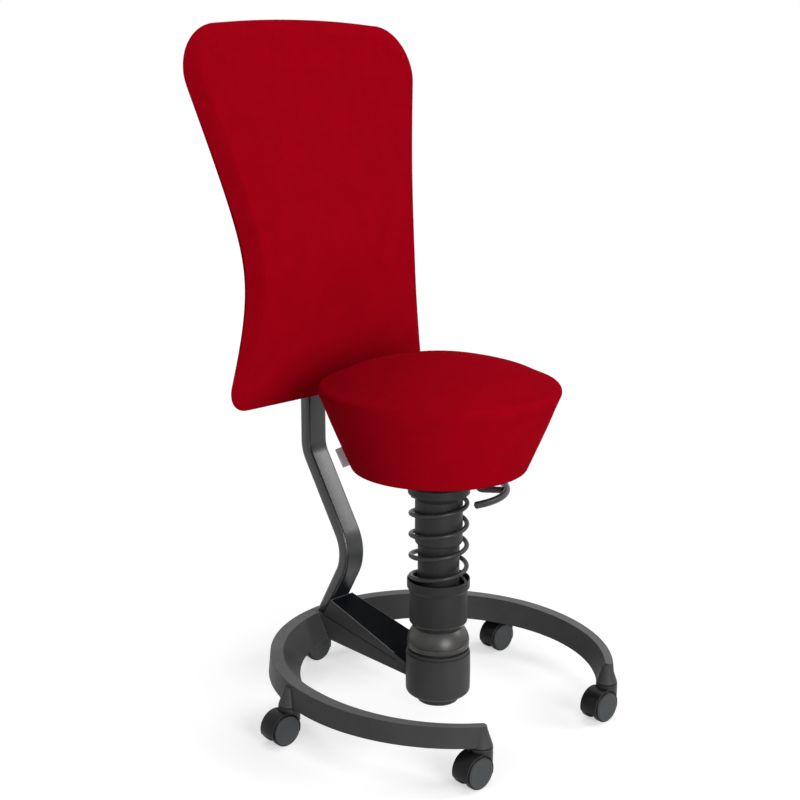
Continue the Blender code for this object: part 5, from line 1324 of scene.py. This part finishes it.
def seatSoft(co):
    r = math.hypot(co.x - home.x, co.y - home.y)
    if r < recess + seatSet["stillOut"] and co.z < panTop + seatSet["pinUp"]:
        return 0.0
    fromRim = ramp(math.hypot(r - seatRadius, co.z - rimZ), seatSet["rimFrom"], seatSet["rimTo"])
    raised = ramp(co.z, seatLow.z + seatSet["softFrom"], seatLow.z + seatSet["softTo"])
    return raised * (seatSet["rimSoft"] + (1 - seatSet["rimSoft"]) * fromRim)


seatCover = asObject(moved(turned(seatProfile(), seatSet["sides"]), home), "seat_cover")
swell(seatCover, seatHeld, seatSoft)
finishPiece(seatCover, [redCloth], "seat", ["seat_cushion"], 180.0)
print("seat cushion made")

# Backrest: cushion, board, rear cover, clamp and knob
backSet = {"height": 0.643, "waistHalf": 0.1964, "topHalf": 0.2585, "flare": 0.28, "flareEase": 0.12,
           "waistRise": 0.225, "bottomRound": 0.046, "topRound": 0.085, "arch": 0.0075, "lumbarRise": 0.215,
           "lumbarEase": 0.10, "upperLean": 0.285, "lowerLean": 0.194, "edge": 0.020, "waistEdge": 0.022,
           "border": 0.019, "crown": 0.004, "overhang": 0.0052, "tuck": 0.0125, "wallDeep": 0.56,
           "wallBow": 0.0006, "tuckFrom": 0.545, "tuckRound": 0.8, "tuckDeep": 1.15, "sideSteps": 46,
           "cornerSteps": 16, "edgeSteps": 12, "boardInset": 0.026, "boardThick": 0.006, "pinDeep": 0.85,
           "stillDeep": 0.9, "lineSoft": 0.06, "softFrom": 0.002, "softTo": 0.06, "wallSoft": 0.10}
coverSet = {"thick": 0.010, "inset": 0.0115, "round": 0.009, "lipIn": 0.0008, "lipDeep": 0.0007,
            "stitchInset": 0.025, "seamHalf": 0.002, "seamSunk": 0.0004, "threadSunk": 0.0002,
            "holeRoom": 0.0008, "holeDeep": 0.2}
backLow, backHigh = lowZ("backrest_cushion"), highZ("backrest_cushion")
backMiddle = (backLow + backHigh) / 2
lumbarZ = backLow + backSet["lumbarRise"]
waistZ = backLow + backSet["waistRise"]
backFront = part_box("backrest_cushion")[0].y - home.y + backSet["crown"]


def backLean(z):
    lean = backSet["upperLean"] if z > lumbarZ else backSet["lowerLean"]
    return lean * (math.hypot(z - lumbarZ, backSet["lumbarEase"]) - backSet["lumbarEase"])


def backEdge(z):
    waist = max(0.0, math.cos(math.pi * (z - backMiddle) / backSet["height"]))
    return backSet["edge"] + backSet["waistEdge"] * waist


def backHalf(z):
    ease = backSet["flareEase"]
    wide = backSet["waistHalf"] + backSet["flare"] * (math.hypot(z - waistZ, ease) - ease)
    return min(wide, backSet["topHalf"])


def backOutline():
    half = []
    low, high = backLow + backSet["bottomRound"], backHigh - backSet["arch"] - backSet["topRound"]
    bottomReach = backHalf(backLow) - backSet["bottomRound"]
    half += [Vector((bottomReach * i / backSet["edgeSteps"], backLow)) for i in range(backSet["edgeSteps"])]
    for i in range(backSet["cornerSteps"] + 1):
        a = math.pi / 2 * (i / backSet["cornerSteps"] - 1)
        z = low + backSet["bottomRound"] * math.sin(a)
        half.append(Vector((backHalf(z) - backSet["bottomRound"] * (1 - math.cos(a)), z)))
    for i in range(1, backSet["sideSteps"]):
        z = low + (high - low) * i / backSet["sideSteps"]
        half.append(Vector((backHalf(z), z)))
    for i in range(backSet["cornerSteps"] + 1):
        a = math.pi / 2 * i / backSet["cornerSteps"]
        z = high + backSet["topRound"] * math.sin(a)
        half.append(Vector((backHalf(z) - backSet["topRound"] * (1 - math.cos(a)), z)))
    topReach = half[-1].x
    for i in range(backSet["edgeSteps"] - 1, -1, -1):
        t = i / backSet["edgeSteps"]
        half.append(Vector((topReach * t, backHigh - backSet["arch"] * t ** 2)))
    return half + [Vector((-p.x, p.y)) for p in half[-2:0:-1]]


backLine = backOutline()
spineLow = backLow + backSet["waistHalf"]
spineHigh = backHigh - backSet["topHalf"]


def backInset(inset):
    count = len(backLine)
    out = []
    for i, p in enumerate(backLine):
        run = backLine[(i + 1) % count] - backLine[i - 1]
        inward = Vector((-run.y, run.x)).normalized()
        out.append(p + inward * (inset if inset > 0 else inset * abs(inward.x)))
    return out


# Rings of (share out from the spine, inset, depth behind the front, share of the border's depth)
def backRow(share, inset, depth, edgeShare):
    row = []
    for p in backInset(inset):
        spine = Vector((0.0, min(max(p.y, spineLow), spineHigh)))
        flat = spine + (p - spine) * share
        y = backFront + backLean(flat.y) + depth + edgeShare * backEdge(p.y if share == 1 else flat.y)
        row.append((flat.x, y, flat.y))
    return row


def backBody(rings):
    bm = loops([backRow(*ring) for ring in rings], ends=False)
    bmesh.ops.remove_doubles(bm, verts=bm.verts, dist=0.00001)
    bmesh.ops.dissolve_degenerate(bm, dist=0.00001, edges=bm.edges)
    bmesh.ops.recalc_face_normals(bm, faces=bm.faces)
    return bm


shares = [0.0, 0.15, 0.3, 0.45, 0.6, 0.72, 0.82, 0.89, 0.94]
# Rings round the front's edge: (inset past the border, depth, share of the border's depth)
creaseRings = [(0.0060, -0.0002, 0.0), (0.0028, 0.0, 0.0), (0.0008, 0.0002, 0.006), (-0.0010, 0.0003, 0.030),
               (-0.0032, 0.0, 0.075)]


def cushionRings():
    border, widest = backSet["border"], -backSet["overhang"]
    rings = [(t, border, -backSet["crown"] * (1 - t ** 2), 0.0) for t in shares]
    rings += [(1.0, border + inset, depth, edgeShare) for inset, depth, edgeShare in creaseRings]
    for t in (0.26, 0.40, 0.54, 0.68, 0.80, 0.90):
        inset = border + (widest - border) * t - backSet["wallBow"] * math.sin(math.pi * t)
        rings.append((1.0, inset, 0.0, backSet["wallDeep"] * t))
    for t in (0.0, 0.22, 0.45, 0.7, 0.9):
        a = math.pi / 2 * t
        inset = widest + (backSet["tuck"] - widest) * (1 - math.cos(a)) ** backSet["tuckRound"]
        deep = backSet["tuckFrom"] + (1 - backSet["tuckFrom"]) * math.sin(a) ** backSet["tuckDeep"]
        rings.append((1.0, inset, 0.0, deep))
    rings += [(1.0, backSet["tuck"], 0.0, 1.0), (1.0, backSet["boardInset"], 0.0, 1.0)]
    return rings + [(t, backSet["boardInset"], 0.0, 1.0) for t in shares[::-1]]


def outlineDistance(x, z):
    best = 1.0
    for a, b in zip(backLine, backLine[1:] + backLine[:1]):
        run = b - a
        t = min(max(((x - a.x) * run.x + (z - a.y) * run.y) / run.length_squared, 0.0), 1.0)
        best = min(best, math.hypot(x - a.x - run.x * t, z - a.y - run.y * t))
    return best


def backDepth(co):
    return (co.y - home.y - backFront - backLean(co.z)) / backEdge(co.z)


def backHeld(co):
    return 1.0 if backDepth(co) > backSet["pinDeep"] else 0.0


def backSoft(co):
    deep = backDepth(co)
    if deep > backSet["stillDeep"]:
        return 0.0
    gap = outlineDistance(co.x - home.x, co.z) - backSet["border"]
    if gap > 0:
        inward = ramp(gap, backSet["softFrom"], backSet["softTo"])
        return backSet["lineSoft"] + (1 - backSet["lineSoft"]) * inward
    return backSet["wallSoft"] * math.sin(math.pi * min(max(deep, 0.0), 1.0))


backCover = asObject(moved(backBody(cushionRings()), home), "back_cover")
swell(backCover, backHeld, backSoft)
finishPiece(backCover, [redCloth], "backrest", ["backrest_cushion"], 180.0)

pocket = backSet["boardInset"] - play
boardBack = play + backSet["boardThick"] + play
thick, stitchInset = coverSet["thick"], coverSet["stitchInset"]
rearRings = [(t, pocket, boardBack, 1.0) for t in shares]
rearRings += [(1.0, pocket, boardBack, 1.0), (1.0, pocket, play, 1.0),
              (1.0, coverSet["inset"] + coverSet["lipIn"], play, 1.0)]
for i in range(11):
    a = math.pi / 2 * i / 10
    inset = coverSet["inset"] + coverSet["round"] * (1 - math.cos(a))
    rearRings.append((1.0, inset, coverSet["lipDeep"] + (thick - coverSet["lipDeep"]) * math.sin(a), 1.0))
for step, sunk in ((-1, 0.0), (0, coverSet["seamSunk"]), (1, 0.0)):
    rearRings.append((1.0, stitchInset + step * coverSet["seamHalf"], thick - sunk, 1.0))
rearRings += [(t, pocket, thick, 1.0) for t in shares[::-1]]
clampLow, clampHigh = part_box("mast_clamp")
hole = block((clampHigh.x - clampLow.x + coverSet["holeRoom"], coverSet["holeDeep"],
              clampHigh.z - clampLow.z + coverSet["holeRoom"]),
             (0, backFront + coverSet["holeDeep"] / 2, (clampLow.z + clampHigh.z) / 2))
rearMesh = carved(backBody(rearRings), [(hole, "DIFFERENCE")])
addPiece("rear_cover", moved(rearMesh, home), redCloth, "backrest", ["backrest_rear_cover"],
         40.0)

stitchTree, stitch = newTree("stitches", {"Pitch": 0.004, "Length": 0.003, "Thread": 0.0005})
seam = stitch["Geometry"]
seamCurve = seam.node("GeometryNodeMeshToCurve", None, {0: seam})
pricks = seam.node("GeometryNodeCurveToPoints", {"mode": "LENGTH"}, {0: seamCurve, "Length": stitch["Pitch"]})
tangent = Wire(seam.tree, pricks.socket.node.outputs["Tangent"])
lying = seam.node("FunctionNodeAlignRotationToVector", {"axis": "X"}, {"Vector": tangent})
bead = seam.node("GeometryNodeMeshUVSphere", None, {"Segments": 8, "Rings": 5, "Radius": 0.5})
shape = seam.node("ShaderNodeCombineXYZ", None,
                  {"X": stitch["Length"], "Y": stitch["Thread"], "Z": stitch["Thread"]})
threads = seam.node("GeometryNodeInstanceOnPoints", None, {
    "Points": pricks, "Instance": bead, "Rotation": lying, "Scale": shape})
endTree(threads, redThread)
stitchSet = {"Pitch": 0.0046, "Length": 0.0034, "Thread": 0.0010}
seamPoints = [Vector(p) + home for p in backRow(1.0, stitchInset, thick - coverSet["threadSunk"], 1.0)]
seamEdges = [(i, (i + 1) % len(seamPoints)) for i in range(len(seamPoints))]
seamMesh = bpy.data.meshes.new("seam")
seamMesh.from_pydata([tuple(p) for p in seamPoints], seamEdges, [])
fromTree("rear_stitches", stitchTree, stitchSet, seamMesh, "backrest", [])

easedCopy("mast_clamp", "clamp", gripPlastic, "backrest", 0.0016)
knobSet = {"radius": 0.018, "thick": 0.014, "stud": 0.004, "core": 0.0022, "shoulder": 0.002,
           "dish": 0.0008, "lobes": 12, "lobe": 0.0026, "lobeLow": 0.0006, "lobeHigh": 0.0026,
           "bevel": 0.0005}
knobLow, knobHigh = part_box("clamp_knob")
knobZ = middle("clamp_knob").z
knobFace = knobHigh.y - knobLow.y
knobBase = knobFace - knobSet["thick"]
knobRadius, knobCore = knobSet["radius"], knobSet["radius"] - knobSet["core"]
knobDish = knobFace - knobSet["dish"]
knobProfile = eased([
    (0, 0), (knobSet["stud"], 0), (knobSet["stud"], knobBase), (knobCore, knobBase, 0.0008),
    (knobCore, knobFace - knobSet["shoulder"], 0.0014), (knobRadius * 0.72, knobFace, 0.0018),
    (knobRadius * 0.62, knobFace, 0.0005), (knobRadius * 0.58, knobDish, 0.0004), (0, knobDish)])


def alongY(bm):
    return moved(swung(bm, -math.pi / 2, "X"), (home.x, knobLow.y, knobZ))


addPiece("knob", alongY(turned(knobProfile, 72)), gripPlastic, "knob", ["clamp_knob"])
lobeValues = {"Count": knobSet["lobes"], "Radius": knobRadius - knobSet["lobe"],
              "Rib Radius": knobSet["lobe"], "Low": knobBase + knobSet["lobeLow"],
              "High": knobFace - knobSet["lobeHigh"]}
lobeMesh = grown(ribTree, lobeValues, bpy.data.meshes.new("knob_lobes"))
lobes = bmesh.new()
lobes.from_mesh(lobeMesh)
bpy.data.meshes.remove(lobeMesh)
addBevel(addPiece("knob_lobes", alongY(lobes), gripPlastic, "knob", []), knobSet["bevel"], 2)
print("backrest made")

# Bare tag in the seat's seam: a folded strip
tagSet = {"length": 0.034, "reach": 0.013, "thick": 0.0012, "rise": 0.004, "turn": math.radians(135),
          "spread": 0.34, "tuck": 0.0012, "tuckFrom": 0.9, "wave": 0.0006, "waves": 120.0, "cloth": 0.0003}
tagRun = Vector((seatRadius - seatSet["bottomRadius"], rimZ - seatLow.z)).normalized()
tagOut = Vector((tagRun.y, -tagRun.x))
tagBase = Vector((seatSet["bottomRadius"], seatLow.z)) + tagRun * tagSet["rise"]
tagRows = []
for i in range(19):
    along = tagSet["length"] * i / 18
    row = []
    for k in range(17):
        t = k / 16
        fromFold = abs(2 * t - 1)
        tucked = tagSet["tuck"] * max(0.0, fromFold - tagSet["tuckFrom"]) / (1 - tagSet["tuckFrom"])
        out = tagSet["reach"] * (1 - fromFold) + play - tucked
        flare = tagSet["thick"] * tagSet["spread"] * (1 if t < 0.5 else -1) * min(1.0, fromFold * 4)
        flare += tagSet["wave"] * math.sin(along * tagSet["waves"]) * out / tagSet["reach"]
        spot = tagBase + tagRun * along + tagOut * out
        row.append((spot.x, flare, spot.y))
    tagRows.append(row)
tagMesh = loops(tagRows, closed=False, ends=False)
tag = addPiece("tag", moved(swung(tagMesh, tagSet["turn"]), home), tagCloth, "seat", ["seat_tag"],
               60.0)
solid = tag.modifiers.new("thickness", "SOLIDIFY")
solid.thickness = tagSet["cloth"]
solid.offset = 0.0

# Inner CAD pieces that stay as they are
kept = {"rubber_bearing": collarRubber, "ball_liner": paleBush, "pivot_ball": bareSteel,
        "piston_rod": bareSteel, "release_button": bareSteel, "seat_pan": plyBoard, "lever_pin": bareSteel,
        "backrest_board": plyBoard}
for name in castorNames:
    kept[name + "_axle"] = bareSteel
    kept[name + "_stem"] = bareSteel
for name, surface in kept.items():
    nodes[name].data.materials.clear()
    nodes[name].data.materials.append(surface)
print("inner pieces dressed")
